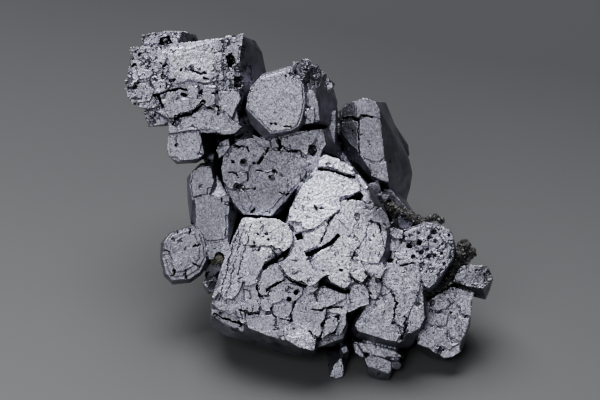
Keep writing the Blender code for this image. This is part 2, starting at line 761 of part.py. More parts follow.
def centre_plates(c):
    """The large central plate, the diamond beside it and the broken steps below them."""
    face = Face((350, 245), 7.0, (0.0, 0.14))
    front = [
        (342, 203), (352, 201), (380, 210), (388, 224), (384, 250), (380, 264), (350, 284),
        (330, 279), (313, 264), (313, 258), (338, 238), (341, 222),
    ]
    c.crystal(
        "centre", face, front,
        [
            (
                -2,
                [
                    (340, 205), (382, 208), (392, 226), (400, 262), (372, 310), (345, 312),
                    (310, 290), (300, 260),
                ],
            ),
            (-12, [(330, 220), (385, 225), (390, 290), (350, 315), (310, 280)]),
        ],
    )
    c.plate(
        face, 1.1,
        [
            (341, 202), (348, 199), (366, 204), (381, 208), (387, 215), (390, 226), (385, 229),
            (380, 224), (369, 220), (366, 228), (365, 236), (360, 244), (354, 251), (350, 260),
            (349, 274), (351, 280), (348, 286), (344, 288), (330, 281), (327, 276), (316, 270),
            (312, 258), (322, 251), (334, 246), (337, 239), (341, 236), (342, 224), (338, 218),
            (340, 210),
        ],
    )
    c.plate(
        face, 0.9,
        [
            (370, 222), (379, 226), (382, 240), (384, 251), (380, 260), (378, 264), (366, 262),
            (356, 259), (352, 260), (356, 251), (362, 244), (367, 236), (367, 228),
        ],
    )
    c.plate(
        face, 1.0,
        [(351, 262), (360, 261), (364, 268), (368, 274), (362, 282), (354, 278), (350, 272)],
    )
    c.plate(face, 0.7, [(366, 264), (378, 266), (382, 262), (386, 268), (380, 278), (370, 276)])
    diamond = Face((303, 266), 7.6, (0.04, 0.12))
    c.crystal(
        "diamond_body", diamond,
        [(296, 250), (308, 259), (320, 274), (312, 282), (290, 276), (282, 265)],
        [(0, [(285, 246), (325, 255), (325, 290), (280, 282)])],
    )
    c.plate(
        diamond, 1.4,
        [
            (293, 246), (297, 245), (302, 250), (308, 256), (310, 262), (313, 268), (321, 274),
            (325, 275), (319, 280), (316, 283), (309, 286), (300, 282), (290, 279), (286, 275),
            (284, 270), (278, 264), (285, 260), (289, 255),
        ],
    )
    c.plate(
        diamond, 0.4,
        [(304, 288), (309, 285), (317, 282), (319, 282), (318, 287), (315, 291), (309, 294), (305, 292)],
    )
    step = Face((335, 297), 6.2, (0.03, 0.10))
    c.crystal(
        "centre_step", step,
        [(304, 292), (330, 284), (350, 282), (366, 284), (369, 303), (350, 311), (325, 318), (310, 305)],
        [(-3, [(300, 285), (370, 280), (372, 308), (345, 325), (318, 330)])],
    )
    c.plate(
        step, 0.6,
        [
            (320, 288), (326, 287), (340, 291), (346, 294), (346, 298), (340, 302), (334, 304),
            (326, 307), (313, 308), (311, 302), (317, 296),
        ],
    )
    c.plate(
        step, 1.4,
        [
            (350, 286), (353, 281), (359, 281), (365, 285), (369, 292), (369, 304), (361, 306),
            (351, 311), (349, 300),
        ],
    )
    c.hollow(
        step,
        [
            (319.3, 281.4), (331.2, 283.8), (344.9, 290.1), (350.4, 287.6), (349.2, 292.9),
            (343.3, 293.4), (331.7, 288.6), (323.8, 285.4),
        ],
        3.0,
    )
    c.plate(step, 0.3, [(328, 309), (342, 305), (348, 303), (347, 312), (340, 314), (330, 312)])
    c.plate(step, 0.5, [(340, 314), (346, 312), (346, 324), (340, 334), (335, 334), (338, 324)])


def lower_right(c):
    """The crystal at the lower right of the middle, its plates, and the small feet under it."""
    face = Face((388, 300), 6.0, (0.0, 0.05))
    front = [
        (356, 322), (366, 306), (374, 296), (384, 280), (392, 262), (406, 254), (419, 262),
        (423, 300), (421, 321), (402, 338), (390, 339), (360, 330),
    ]
    keel = [
        (350, 329), (355, 337), (385, 344), (398, 348), (413, 344), (424, 328), (427, 300),
        (420, 258), (392, 256), (357, 312),
    ]
    c.crystal(
        "lower_right", face, front,
        [
            (0.5, keel),
            (-12, [(356, 325), (362, 345), (400, 356), (416, 345), (425, 318), (420, 270), (380, 270)]),
        ],
    )
    c.plate(
        face, 1.3,
        [
            (355, 324), (366, 322), (362, 316), (370, 310), (383, 304), (386, 300), (384, 294),
            (389, 290), (394, 293), (395, 301), (394, 312), (392, 321), (397, 326), (401, 334),
            (396, 341), (388, 340), (372, 335), (357, 330),
        ],
    )
    c.plate(
        face, 1.4,
        [(367, 284), (372, 275), (378, 277), (381, 284), (379, 294), (376, 298), (371, 300), (370, 292)],
    )
    c.plate(face, 1.0, [(374, 309), (376, 301), (382, 298), (384, 302)])
    c.plate(
        face, 1.1,
        [
            (387, 262), (392, 264), (395, 253), (404, 252), (418, 262), (420, 280), (418, 293),
            (414, 302), (410, 310), (407, 320), (404, 328), (399, 325), (393.4, 320), (395.8, 305),
            (394.6, 291.6), (388, 287.6), (382.6, 284.4), (381.6, 275),
        ],
    )
    c.plate(
        face, 0.8,
        [(418, 297), (423, 302), (424, 318), (419, 328), (409, 333), (406, 330), (409, 318), (412, 308)],
    )
    c.plate(face, 0.7, [(398, 328), (403, 334), (403, 340), (397, 342)])
    top = Face((394, 250), 3.4, (0.0, 0.1))
    c.crystal(
        "lower_right_top", top,
        [(387, 239), (396, 235), (402, 240), (404, 254), (394, 262), (387, 258)],
        [(-4, [(386, 238), (404, 234), (410, 256), (388, 264)])],
    )
    c.plate(top, 0.9, [(388, 240), (396, 237), (401, 241), (400, 250), (393, 252), (388, 249)])
    under = Face((378, 350), 0.6, (0.05, 0.0))
    c.crystal(
        "under_step", under,
        [(354, 342), (372, 344), (396, 351), (402, 357), (384, 357), (362, 351)],
        [(-6, [(352, 338), (405, 348), (404, 362), (380, 362), (356, 352)])],
    )
    sliver = Face((358, 351), 2.2, (0.05, 0.0))
    c.crystal(
        "sliver", sliver,
        [(353, 344), (357, 344), (364, 356), (362, 358), (355, 352)],
        [(-2, [(352, 343), (360, 345), (366, 358), (358, 358)])],
    )
    foot = Face((379, 364), 1.6, (0.0, 0.1))
    c.crystal(
        "right_foot", foot,
        [(365, 359), (370, 355), (380, 357), (391, 362), (391, 370), (388, 373), (378, 369), (368, 366)],
        [
            (0.0, [(364, 360), (368, 374), (378, 379), (389, 381), (392, 372)]),
            (-8, [(362, 352), (396, 352), (394, 366), (370, 370)]),
        ],
    )
    c.cuboctahedron("right_grain", (396, 364), -0.5, 1.1, (0.5, 0.1, 0.3), ledge=0)
    left_foot = Face((344, 350), 0.8, (0.0, 0.0))
    c.crystal(
        "left_foot_top", left_foot,
        [(341, 348), (346, 346), (349, 351), (343, 354)],
        [(-5, [(340, 340), (350, 342), (348, 362), (338, 360)])],
    )
    c.crystal(
        "left_foot", Face((338, 368), -0.4),
        [(336, 362), (341, 358), (344, 369), (343, 377), (336, 379), (330, 377), (332, 369)],
        [
            (-4, [(334, 352), (348, 350), (346, 372), (334, 374), (328, 372)]),
            (-10, [(325, 345), (350, 340), (345, 362), (330, 362)]),
        ],
    )


def pitted_right(c):
    """The pitted crystal at the right, the bar that sticks out beside it and the crystal below."""
    face = Face((428, 252), 5.2, (0.02, 0.16))
    front = [
        (405, 233), (424, 226), (436, 227), (447, 231), (452, 237), (454, 250), (451, 260),
        (437, 281), (425, 286), (420, 264), (407, 258),
    ]
    body = [
        (401, 230), (424, 222), (440, 224), (452, 232), (456, 246), (454, 262), (438, 288),
        (422, 298), (402, 262),
    ]
    c.crystal(
        "pitted", face, front,
        [(0, body), (-12, [(405, 236), (438, 230), (452, 245), (448, 285), (425, 300), (405, 275)])],
    )
    c.plate(
        face, 1.0,
        [
            (405, 233), (411, 229), (424, 225), (432, 226), (430, 234), (427, 239), (428, 246),
            (421, 246), (419, 241), (413, 241), (405, 240),
        ],
    )
    c.plate(face, 0.8, [(441, 226), (448, 229), (453, 236), (451, 244), (444, 242), (440, 237)])
    c.plate(
        face, 0.6,
        [(422, 274), (426, 268), (434, 263), (440, 268), (438, 276), (435, 282), (428, 288), (423, 285)],
    )
    c.plate(face, 0.7, [(392, 227), (403, 231), (402, 238), (396, 239), (391, 235)])
    c.plate(
        face, 0.6,
        [(403, 242), (411, 244), (421, 252), (424, 262), (414, 264), (402, 262), (396, 258)],
    )
    pits = (
        (409, 246, 3.8), (419, 243, 3.4), (434, 232, 3.4), (429, 238, 2.3), (435, 241, 2.6),
        (441.5, 243.5, 2.0), (427, 249, 2.2), (421, 252, 3.0), (428, 256.5, 3.1), (434.5, 256, 2.1),
        (413, 256, 2.6), (441, 253.5, 2.0), (436, 247.5, 1.8), (444, 264, 2.3), (450, 257, 2.2),
        (447.5, 235, 2.3), (430, 265, 1.7), (417, 233, 1.8),
    )
    for x, y, radius in pits:
        c.pit(face, (x, y), radius, BOWL_LEAST + BOWL_SHARE * radius, lean=(0.25, -0.1))
    bar = Face((474, 277), 1.2, (0.0, 0.12))
    c.crystal(
        "bar", bar,
        [(453, 281), (461, 266), (474, 267), (486, 265), (491, 272), (492, 280), (483, 288), (468, 286)],
        [
            (-3.5, [(452, 283), (474, 297), (486, 300), (490, 291), (493.5, 280), (489, 268)]),
            (-8, [(455, 275), (478, 293), (486, 284), (478, 270)]),
        ],
    )
    low = Face((446, 325), 0.6, (0.0, 0.06))
    front_low = [
        (425, 304), (434, 297), (450, 288), (463, 290), (472, 296), (470, 318), (467, 330),
        (460, 343), (456, 354), (444, 357), (432, 350), (419, 344), (422, 326),
    ]
    keel_low = [
        (424, 300), (452, 284), (473, 297), (471, 325), (462, 352), (446, 361), (430, 358),
        (413, 347), (420, 320),
    ]
    c.crystal(
        "right_low", low, front_low,
        [(-4.5, keel_low), (-14, [(430, 300), (465, 300), (464, 335), (446, 354), (420, 344)])],
    )
    c.plate(
        low, 0.8,
        [
            (450, 287), (462, 289), (474, 293), (471, 302), (471, 316), (462, 314), (460, 306),
            (452, 300), (449, 294),
        ],
    )
    c.plate(
        low, 0.9,
        [(431, 306), (436, 299), (447, 298), (450, 303), (446, 309), (436, 311), (431, 310)],
    )
    c.plate(
        low, 0.6,
        [(424, 304), (430, 300), (429, 312), (448, 314), (446, 326), (434, 326), (425, 322)],
    )
    c.plate(low, 0.7, [(458, 318), (470, 318), (466, 332), (460, 342), (449.5, 336), (450, 328)])
    c.plate(
        low, 0.8,
        [
            (422, 330), (432, 327), (446, 329), (448, 338), (458, 344), (450, 350), (440, 346),
            (436, 354), (428, 348), (417, 344), (418, 338),
        ],
    )
    c.plate(low, 0.5, [(438, 354), (446, 349), (460, 345), (460, 352), (452, 357), (444, 358)])
    for x, y, radius in (
        (451, 313, 1.8), (455, 308, 1.4), (449, 320, 1.3), (456, 318, 1.5), (452, 325, 1.2),
        (434, 333, 1.3), (443, 350, 1.8),
    ):
        c.pit(low, (x, y), radius, 1.6)


def right_tall(c):
    """The tall crystal at the right with its long dark flank, and the rough mass at its root."""
    face = Face((365, 135), -10.4, (0.02, 0.0))
    front = [
        (358, 101), (365, 98), (376, 101), (379, 108), (382, 138), (385, 160), (388, 181), (376, 178),
        (364, 160), (358, 150),
    ]
    flank = [
        (366, 97), (387, 101), (391, 115), (403, 142), (411, 160), (414, 173), (412, 186), (407, 204),
        (396, 214), (345, 180), (338, 135), (340, 110),
    ]
    left = [(341, 109), (346, 102), (340, 122), (340, 131), (347, 142), (353, 152)]
    c.crystal(
        "right_tall", face, front,
        [
            (-13.2, left), (-21, flank),
            (-26, [(360, 112), (385, 112), (403, 165), (398, 200), (350, 185), (348, 130)]),
        ],
    )
    side = Face((350, 125), -11.9, (0.55, 0.0))
    c.plate(
        face, 0.8,
        [
            (357, 100), (365, 97), (376, 101), (380, 108), (381, 118), (372, 116), (367, 114),
            (362, 114), (360, 118), (357, 117),
        ],
    )
    c.plate(
        side, 0.7,
        [(341, 109), (349, 102), (357, 100), (357, 117), (351, 117), (346, 119), (340, 119)],
    )
    c.plate(
        face, 0.6,
        [
            (360, 120), (366, 116), (381, 119), (383, 138), (385, 157), (380, 161), (372, 161),
            (364, 157), (360, 150),
        ],
    )
    c.plate(side, 0.4, [(342, 122), (358, 121), (358, 150), (350, 143), (342, 133)])
    c.plate(face, 0.3, [(370, 163), (387, 162), (389, 182), (381, 180), (372, 176)])
    root = Face((396, 214), -12.6, (0.25, 0.0))
    c.crystal(
        "dark_root", root,
        [
            (328, 128), (340, 132), (362, 156), (384, 186), (410, 214), (420, 222), (396, 230),
            (360, 200), (328, 160),
        ],
        [(-25, [(330, 125), (350, 128), (396, 180), (414, 214), (395, 235), (340, 190)])],
    )
    lumps = (
        (374, 190, 1.8), (384, 200, 1.8), (404, 222, 2.0), (388, 236, 1.7), (386, 248, 1.6),
        (397, 226, 1.5),
    )
    for number, (x, y, half) in enumerate(lumps):
        out = LUMP_OUT + LUMP_RISE * (x - LUMP_FROM)
        c.cuboctahedron(
            f"root_lump_{number}", (x, y), out, half, (0.5 * number, 0.9 * number, 0.3), ledge=0,
        )


def back_and_base(c):
    """The crystals that no front view shows: the thick back and the ones the specimen stands on."""
    crystals = (
        ("back_heart", (312, 205), -27, 13.5, (0.5, 0.35, 0.2)),
        ("back_foot", (330, 226), -36, 10.5, (0.72, 0.1, 0.45)),
        ("back_left", (262, 168), -24, 9.5, (0.2, 0.5, 0.15)),
        ("back_left_foot", (272, 262), -17, 11.0, (0.87, 0.05, 0.2)),
        ("back_right", (384, 262), -17, 9.5, (0.6, 0.3, 0.1)),
        ("back_right_foot", (424, 310), -12, 7.0, (0.87, 0.2, 0.0)),
        ("back_high", (208, 88), -17, 7.0, (0.3, 0.2, 0.3)),
        ("back_top", (292, 112), -17, 8.0, (0.15, 0.4, 0.6)),
        ("back_tall", (366, 152), -27, 8.0, (0.4, 0.6, 0.35)),
        ("back_column", (222, 212), -20, 5.5, (0.3, 0.3, 0.8)),
        ("back_spur", (300, 160), -36, 6.0, (0.9, 0.2, 0.5)),
        ("back_bud", (250, 128), -22, 5.0, (0.1, 0.9, 0.5)),
        ("back_neck", (236, 116), -11, 5.5, (0.5, 0.1, 0.2)),
        ("back_shoulder", (345, 190), -40, 6.0, (0.2, 0.8, 0.4)),
        ("back_side", (265, 215), -30, 6.5, (0.6, 0.5, 0.1)),
    )
    for name, middle, out, half, turn in crystals:
        c.cuboctahedron(name, middle, out, half, turn)


def lump_mesh(name, lumps, grow):
    """A few blunt grains, each given as its drawn place, height and radius, grown by some millimetres."""
    meshes = []
    for number, (x, y, out, radius) in enumerate(lumps):
        bm = bmesh.new()
        bmesh.ops.create_icosphere(bm, subdivisions=1, radius=(radius + grow) * MM)
        mesh = bpy.data.meshes.new(f"{name}_{number}")
        bm.to_mesh(mesh)
        bm.free()
        mesh.transform(Euler((0.9 * number, 1.7 * number, 0.4)).to_matrix().to_4x4())
        mesh.transform(Matrix.Translation(on_sheet((x, y), out)))
        meshes.append(mesh)
    return meshes


def crust(name, lumps, material, parts, grown, cut, stand, ground):
    """A lumpy grain of another mineral in a pocket of the galena that clears it all round."""
    meshes = lump_mesh(name, lumps, 0.0)
    obj = add_object(name, meshes[0], parts, stand)
    obj.data.materials.append(material)
    grains = new_collection(f"{name}_grains", shown=False)
    for mesh in meshes[1:]:
        add_object(mesh.name, mesh, grains, stand, helper=True)
    if len(meshes) > 1:
        union(obj, grains)
    difference(obj, ground)
    for mesh in lump_mesh(f"{name}_pocket", lumps, POCKET_GAP * POCKET_CORNER):
        add_object(mesh.name, mesh, cut, stand, helper=True)


def union(obj, collection):
    modifier = obj.modifiers.new("grown_together", "BOOLEAN")
    modifier.operation = "UNION"
    modifier.operand_type = "COLLECTION"
    modifier.collection = collection
    modifier.solver = "EXACT"


def difference(obj, collection):
    modifier = obj.modifiers.new("cut", "BOOLEAN")
    modifier.operation = "DIFFERENCE"
    modifier.operand_type = "COLLECTION"
    modifier.collection = collection
    modifier.solver = "EXACT"


def outer_skin(obj):
    """Settles the solid as one plain mesh: its outer skin, with every hole shut inside it filled."""
    graph = bpy.context.evaluated_depsgraph_get()
    mesh = bpy.data.meshes.new_from_object(obj.evaluated_get(graph))
    obj.modifiers.clear()
    bm = bmesh.new()
    bm.from_mesh(mesh)
    bmesh.ops.remove_doubles(bm, verts=bm.verts, dist=WELD)
    bmesh.ops.dissolve_degenerate(bm, edges=bm.edges, dist=WELD)
    shells = []
    waiting = set(bm.faces)
    while waiting:
        front = {waiting.pop()}
        shell = set(front)
        while front:
            front = {f for face in front for edge in face.edges for f in edge.link_faces} & waiting
            waiting -= front
            shell |= front
        shells.append(shell)
    shells.sort(key=len)
    inner = [face for shell in shells[:-1] for face in shell]
    bmesh.ops.delete(bm, geom=inner, context="FACES")
    bmesh.ops.recalc_face_normals(bm, faces=bm.faces)
    bm.to_mesh(mesh)
    bm.free()
    mesh.name = obj.name
    obj.data = mesh


def world_box(objects):
    graph = bpy.context.evaluated_depsgraph_get()
    corners = []
    for obj in objects:
        shown = obj.evaluated_get(graph)
        corners += [shown.matrix_world @ v.co for v in shown.to_mesh().vertices]
        shown.to_mesh_clear()
    low = Vector(min(p[i] for p in corners) for i in range(3))
    high = Vector(max(p[i] for p in corners) for i in range(3))
    return low, high


def main():
    clear_scene()
    parts = new_collection("galena_specimen")
    grown = new_collection("grown_together", shown=False)
    cut = new_collection("cut_out", shown=False)
    ground = new_collection("ground", shown=False)
    galena = new_material("galena", GALENA_GREY, 1.0, 0.42)
    sphalerite = new_material("sphalerite", SPHALERITE_BROWN, 0.0, 0.5)
    calcite = new_material("calcite", CALCITE_TAN, 0.0, 0.6)

    stand = bpy.data.objects.new("stand", None)
    parts.objects.link(stand)
    stand.rotation_euler = (math.pi / 2 - LEAN_BACK, 0, 0)
    foot = on_sheet(FOOT, FOOT_OUT)
    foot.rotate(stand.rotation_euler)
    stand.location = (0, 0, -foot.z)

    cluster = Cluster(stand, grown, cut)
    high_left_block(cluster)
    hexagon_crystal(cluster)
    middle_face(cluster)
    left_column(cluster)
    front_slab(cluster)
    bright_apex(cluster)
    centre_plates(cluster)
    lower_right(cluster)
    pitted_right(cluster)
    right_tall(cluster)
    back_and_base(cluster)

    bpy.ops.mesh.primitive_cube_add(size=GROUND_SIDE, location=(0, 0, -GROUND_SIDE / 2))
    block = bpy.context.object
    block.name = "ground_block"
    block.hide_render = True
    block.display_type = "WIRE"
    for collection in list(block.users_collection):
        collection.objects.unlink(block)
    ground.objects.link(block)

    crust("sphalerite_crust", CRUST_LUMPS, sphalerite, parts, grown, cut, stand, ground)
    crust("sphalerite_ridge", RIDGE_LUMPS, sphalerite, parts, grown, cut, stand, ground)
    crust(
        "calcite_grain",
        [(219, 259, -3.6, 1.5), (214, 262, -4.0, 1.1)],
        calcite, parts, grown, cut, stand, ground,
    )

    heart = grown.objects["slab"]
    grown.objects.unlink(heart)
    parts.objects.link(heart)
    heart.name = "galena_cluster"
    heart.hide_render = False
    heart.display_type = "TEXTURED"
    heart.data.materials.append(galena)
    union(heart, grown)
    difference(heart, cut)
    difference(heart, ground)
    outer_skin(heart)

    bpy.context.view_layer.update()
    low, high = world_box([obj for obj in parts.objects if obj.type == "MESH"])
    stand.location.x -= (low.x + high.x) / 2
    stand.location.y -= (low.y + high.y) / 2


main()
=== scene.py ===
"""The looks of a galena specimen: etched lead-grey crystals with dark and tan crusts in their pockets.

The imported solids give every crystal, ledge and crack its place. Here each solid gets the skin that
grew and weathered on it: terraces, crazing, pits, striations and grains, as mesh, and a metallic
finish over that.
"""

import logging
import math
from dataclasses import dataclass, field
from enum import Enum

import bmesh
import bpy
import numpy as np
from mathutils import Matrix, Vector


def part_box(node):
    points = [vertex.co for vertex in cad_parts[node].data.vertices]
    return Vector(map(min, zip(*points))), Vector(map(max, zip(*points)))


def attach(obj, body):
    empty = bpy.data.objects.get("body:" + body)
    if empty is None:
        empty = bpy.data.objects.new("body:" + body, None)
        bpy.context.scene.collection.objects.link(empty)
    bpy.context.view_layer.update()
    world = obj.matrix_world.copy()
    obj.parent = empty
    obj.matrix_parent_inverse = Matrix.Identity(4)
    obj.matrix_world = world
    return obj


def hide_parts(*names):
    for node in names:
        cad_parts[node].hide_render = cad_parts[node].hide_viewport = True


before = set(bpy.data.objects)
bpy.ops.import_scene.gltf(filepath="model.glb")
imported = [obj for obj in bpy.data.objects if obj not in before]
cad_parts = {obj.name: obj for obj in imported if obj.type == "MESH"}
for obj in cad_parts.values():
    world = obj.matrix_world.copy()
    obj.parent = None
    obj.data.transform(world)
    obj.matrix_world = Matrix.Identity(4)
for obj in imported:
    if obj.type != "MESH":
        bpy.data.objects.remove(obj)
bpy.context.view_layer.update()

MM = 0.001
LOG = logging.getLogger("galena")
Socket = bpy.types.NodeSocket
Colour = tuple[float, float, float]
Spot = tuple[float, float]


@dataclass(frozen=True)
class Sheet:
    """The flat drawing that the crystals were laid out on, square to the photograph's view.

    A place on it is given in squares to the right and down from its top left corner, and a height
    in millimetres out of it, towards the viewer.
    """

    square_mm: float = 0.25
    middle: Spot = (300.0, 200.0)
    lean_back: float = math.radians(40.0)
    foot: Spot = (380.0, 382.0)
    foot_out_mm: float = 0.6
    shift_mm: tuple[float, float] = (-2.32, -5.32)

    def axes(self) -> np.ndarray:
        """The sheet's right, up and out directions in the world, one in each row."""
        lean = self.lean_back
        return np.array(
            [
                [1.0, 0.0, 0.0],
                [0.0, math.sin(lean), math.cos(lean)],
                [0.0, -math.cos(lean), math.sin(lean)],
            ]
        )

    def origin_mm(self) -> np.ndarray:
        """The sheet's middle in the world, in millimetres."""
        up = (self.middle[1] - self.foot[1]) * self.square_mm
        height = -(up * math.cos(self.lean_back) + self.foot_out_mm * math.sin(self.lean_back))
        return np.array([self.shift_mm[0], self.shift_mm[1], height])

    def places(self, points_mm: np.ndarray) -> np.ndarray:
        """Finds world points on the sheet.

        Args:
            points_mm: World points in millimetres, one in each row.

        Returns:
            For each point its squares to the right and down, and its height out in millimetres.
        """
        local = (points_mm - self.origin_mm()) @ self.axes().T
        right = self.middle[0] + local[:, 0] / self.square_mm
        down = self.middle[1] - local[:, 1] / self.square_mm
        return np.column_stack((right, down, local[:, 2]))

    def world(self, right: float, down: float, out_mm: float) -> Vector:
        """A place on the sheet as a world point.

        Args:
            right: Squares from the sheet's left edge.
            down: Squares from the sheet's top edge.
            out_mm: Height out of the sheet.

        Returns:
            The point in metres.
        """
        local = np.array(
            [
                (right - self.middle[0]) * self.square_mm,
                (self.middle[1] - down) * self.square_mm,
                out_mm,
            ]
        )
        return Vector((self.origin_mm() + local @ self.axes()) * MM)


# Large odd numbers that scatter the bits of a cell's place.
AXIS_SCATTER = tuple(map(np.uint64, (0x9E3779B97F4A7C15, 0xC2B2AE3D27D4EB4F, 0x165667B19E3779F9)))
ROUND_SCATTER = np.uint64(0xD6E8FEB86659FD93)
LOW_BITS = 0xFFFFFF


@dataclass(frozen=True)
class GrownNoise:
    """Seeded three-dimensional noise, for everything that grew unevenly."""

    seed: int

    def chance(self, cells: np.ndarray, salt: int = 0) -> np.ndarray:
        """A fixed random number for each whole-numbered cell.

        Args:
            cells: Whole numbers, three in each row.
            salt: Which of a cell's random numbers to give.

        Returns:
            Numbers from 0 to 1.
        """
        c = cells.astype(np.int64).astype(np.uint64)
        mixed = c[..., 0] * AXIS_SCATTER[0]
        mixed ^= c[..., 1] * AXIS_SCATTER[1]
        mixed ^= c[..., 2] * AXIS_SCATTER[2]
        mixed += np.uint64((self.seed * 7919 + salt * 104729) & 0xFFFFFFFF)
        mixed ^= mixed >> np.uint64(31)
        mixed *= ROUND_SCATTER
        mixed ^= mixed >> np.uint64(29)
        mixed *= ROUND_SCATTER
        mixed ^= mixed >> np.uint64(32)
        return (mixed & np.uint64(LOW_BITS)).astype(np.float64) / LOW_BITS

    def smooth(self, points: np.ndarray, size: float, salt: int = 0) -> np.ndarray:
        """Soft lumps of one size.

        Args:
            points: Places, three numbers in each row.
            size: The lumps' size in the same unit.
            salt: Picks one of several unlike patterns.

        Returns:
            Values from -1 to 1.
        """
        scaled = points / size
        low = np.floor(scaled)
        part = scaled - low
        part = part * part * part * (part * (part * 6 - 15) + 10)
        total = np.zeros(len(points))
        for corner in range(8):
            step = np.array([corner & 1, corner >> 1 & 1, corner >> 2 & 1])
            weight = np.prod(np.where(step, part, 1 - part), axis=1)
            total += weight * self.chance(low + step, salt)
        return total * 2 - 1

    def rough(self, points: np.ndarray, size: float, octaves: int, salt: int = 0) -> np.ndarray:
        """Lumps with ever finer lumps on them.

        Args:
            points: Places, three numbers in each row.
            size: The largest lumps' size.
            octaves: How many times the lumps halve.
            salt: Picks one of several unlike patterns.

        Returns:
            Values of about -1 to 1.
        """
        total = np.zeros(len(points))
        for octave in range(octaves):
            total += self.smooth(points, size / 2**octave, salt + octave) / 2**octave
        return total / (2 - 2 ** (1 - octaves))

    def cells(self, points: np.ndarray, size: float, salt: int = 0) -> tuple[np.ndarray, ...]:
        """Grains that fill space, as crystals in a crust do.

        Args:
            points: Places, three numbers in each row.
            size: The grains' size.
            salt: Picks one of several unlike patterns.

        Returns:
            The distance to the nearest grain's middle, that to the next one, both as shares of the
            size, and a random number that is the same all over a grain.
        """
        scaled = points / size
        low = np.floor(scaled)
        near = np.full(len(points), 9.0)
        after = np.full(len(points), 9.0)
        grain = np.zeros(len(points))
        for neighbour in range(27):
            step = np.array([neighbour % 3, neighbour // 3 % 3, neighbour // 9]) - 1
            cell = low + step
            middle = cell + np.column_stack([self.chance(cell, salt + k) for k in (1, 2, 3)])
            away = np.linalg.norm(scaled - middle, axis=1)
            closer = away < near
            after = np.where(closer, near, np.minimum(after, away))
            grain = np.where(closer, self.chance(cell, salt + 4), grain)
            near = np.where(closer, away, near)
        return near, after, grain


class Etch(Enum):
    """How deeply the weather has worked on an area of the cluster.

    The values are how strong its terraces, crazing, pits, grains and striations are, and its tone,
    partly painted light and shade.
    """

    CALM = (0.03, 0.0, 0.0, 0.12, 0.0, 0.85)
    STEPPED = (0.30, 0.24, 0.05, 0.40, 0.0, 1.0)
    RIBBED = (0.30, 0.20, 0.06, 0.5, 1.0, 1.1)
    PITTED = (0.6, 0.5, 0.9, 0.8, 0.0, 1.0)
    CRUSTED = (0.9, 0.9, 1.0, 1.1, 0.0, 1.0)
    # Bright areas' last value lifts the colour, partly as a painted highlight where faces catch the
    # light.
    BRIGHT = (0.42, 0.24, 0.12, 1.5, 0.15, 1.5)
    # Dull areas are darkened: partly a duller surface, partly painted shade.
    DULL_AND_SHADED = (0.2, 0.2, 0.05, 0.4, 0.2, 0.3)
    SHADED = (1.0, 0.9, 0.8, 1.2, 0.0, 0.45)
    WORN = (0.36, 0.05, 0.0, 0.5, 0.0, 1.0)


@dataclass(frozen=True)
class Area:
    """A stretch of the cluster's front with one kind of etching, and how light it is, partly as painted
    light and shade.
    """

    name: str
    middle: Spot
    reach: Spot
    etch: Etch
    ribs_along: float = 0.0
    tone: float = 1.0


@dataclass(frozen=True)
class Crack:
    """A crack drawn on the sheet, in squares, with its width and its depth in millimetres."""

    path: tuple[Spot, ...]
    wide: float = 1.4
    deep_mm: float = 0.9


@dataclass(frozen=True)
class Pit:
    """A round etched pit drawn on the sheet, with a raised rim where rim_mm isn't 0."""

    middle: Spot
    radius: float
    deep_mm: float = 0.8
    rim_mm: float = 0.0


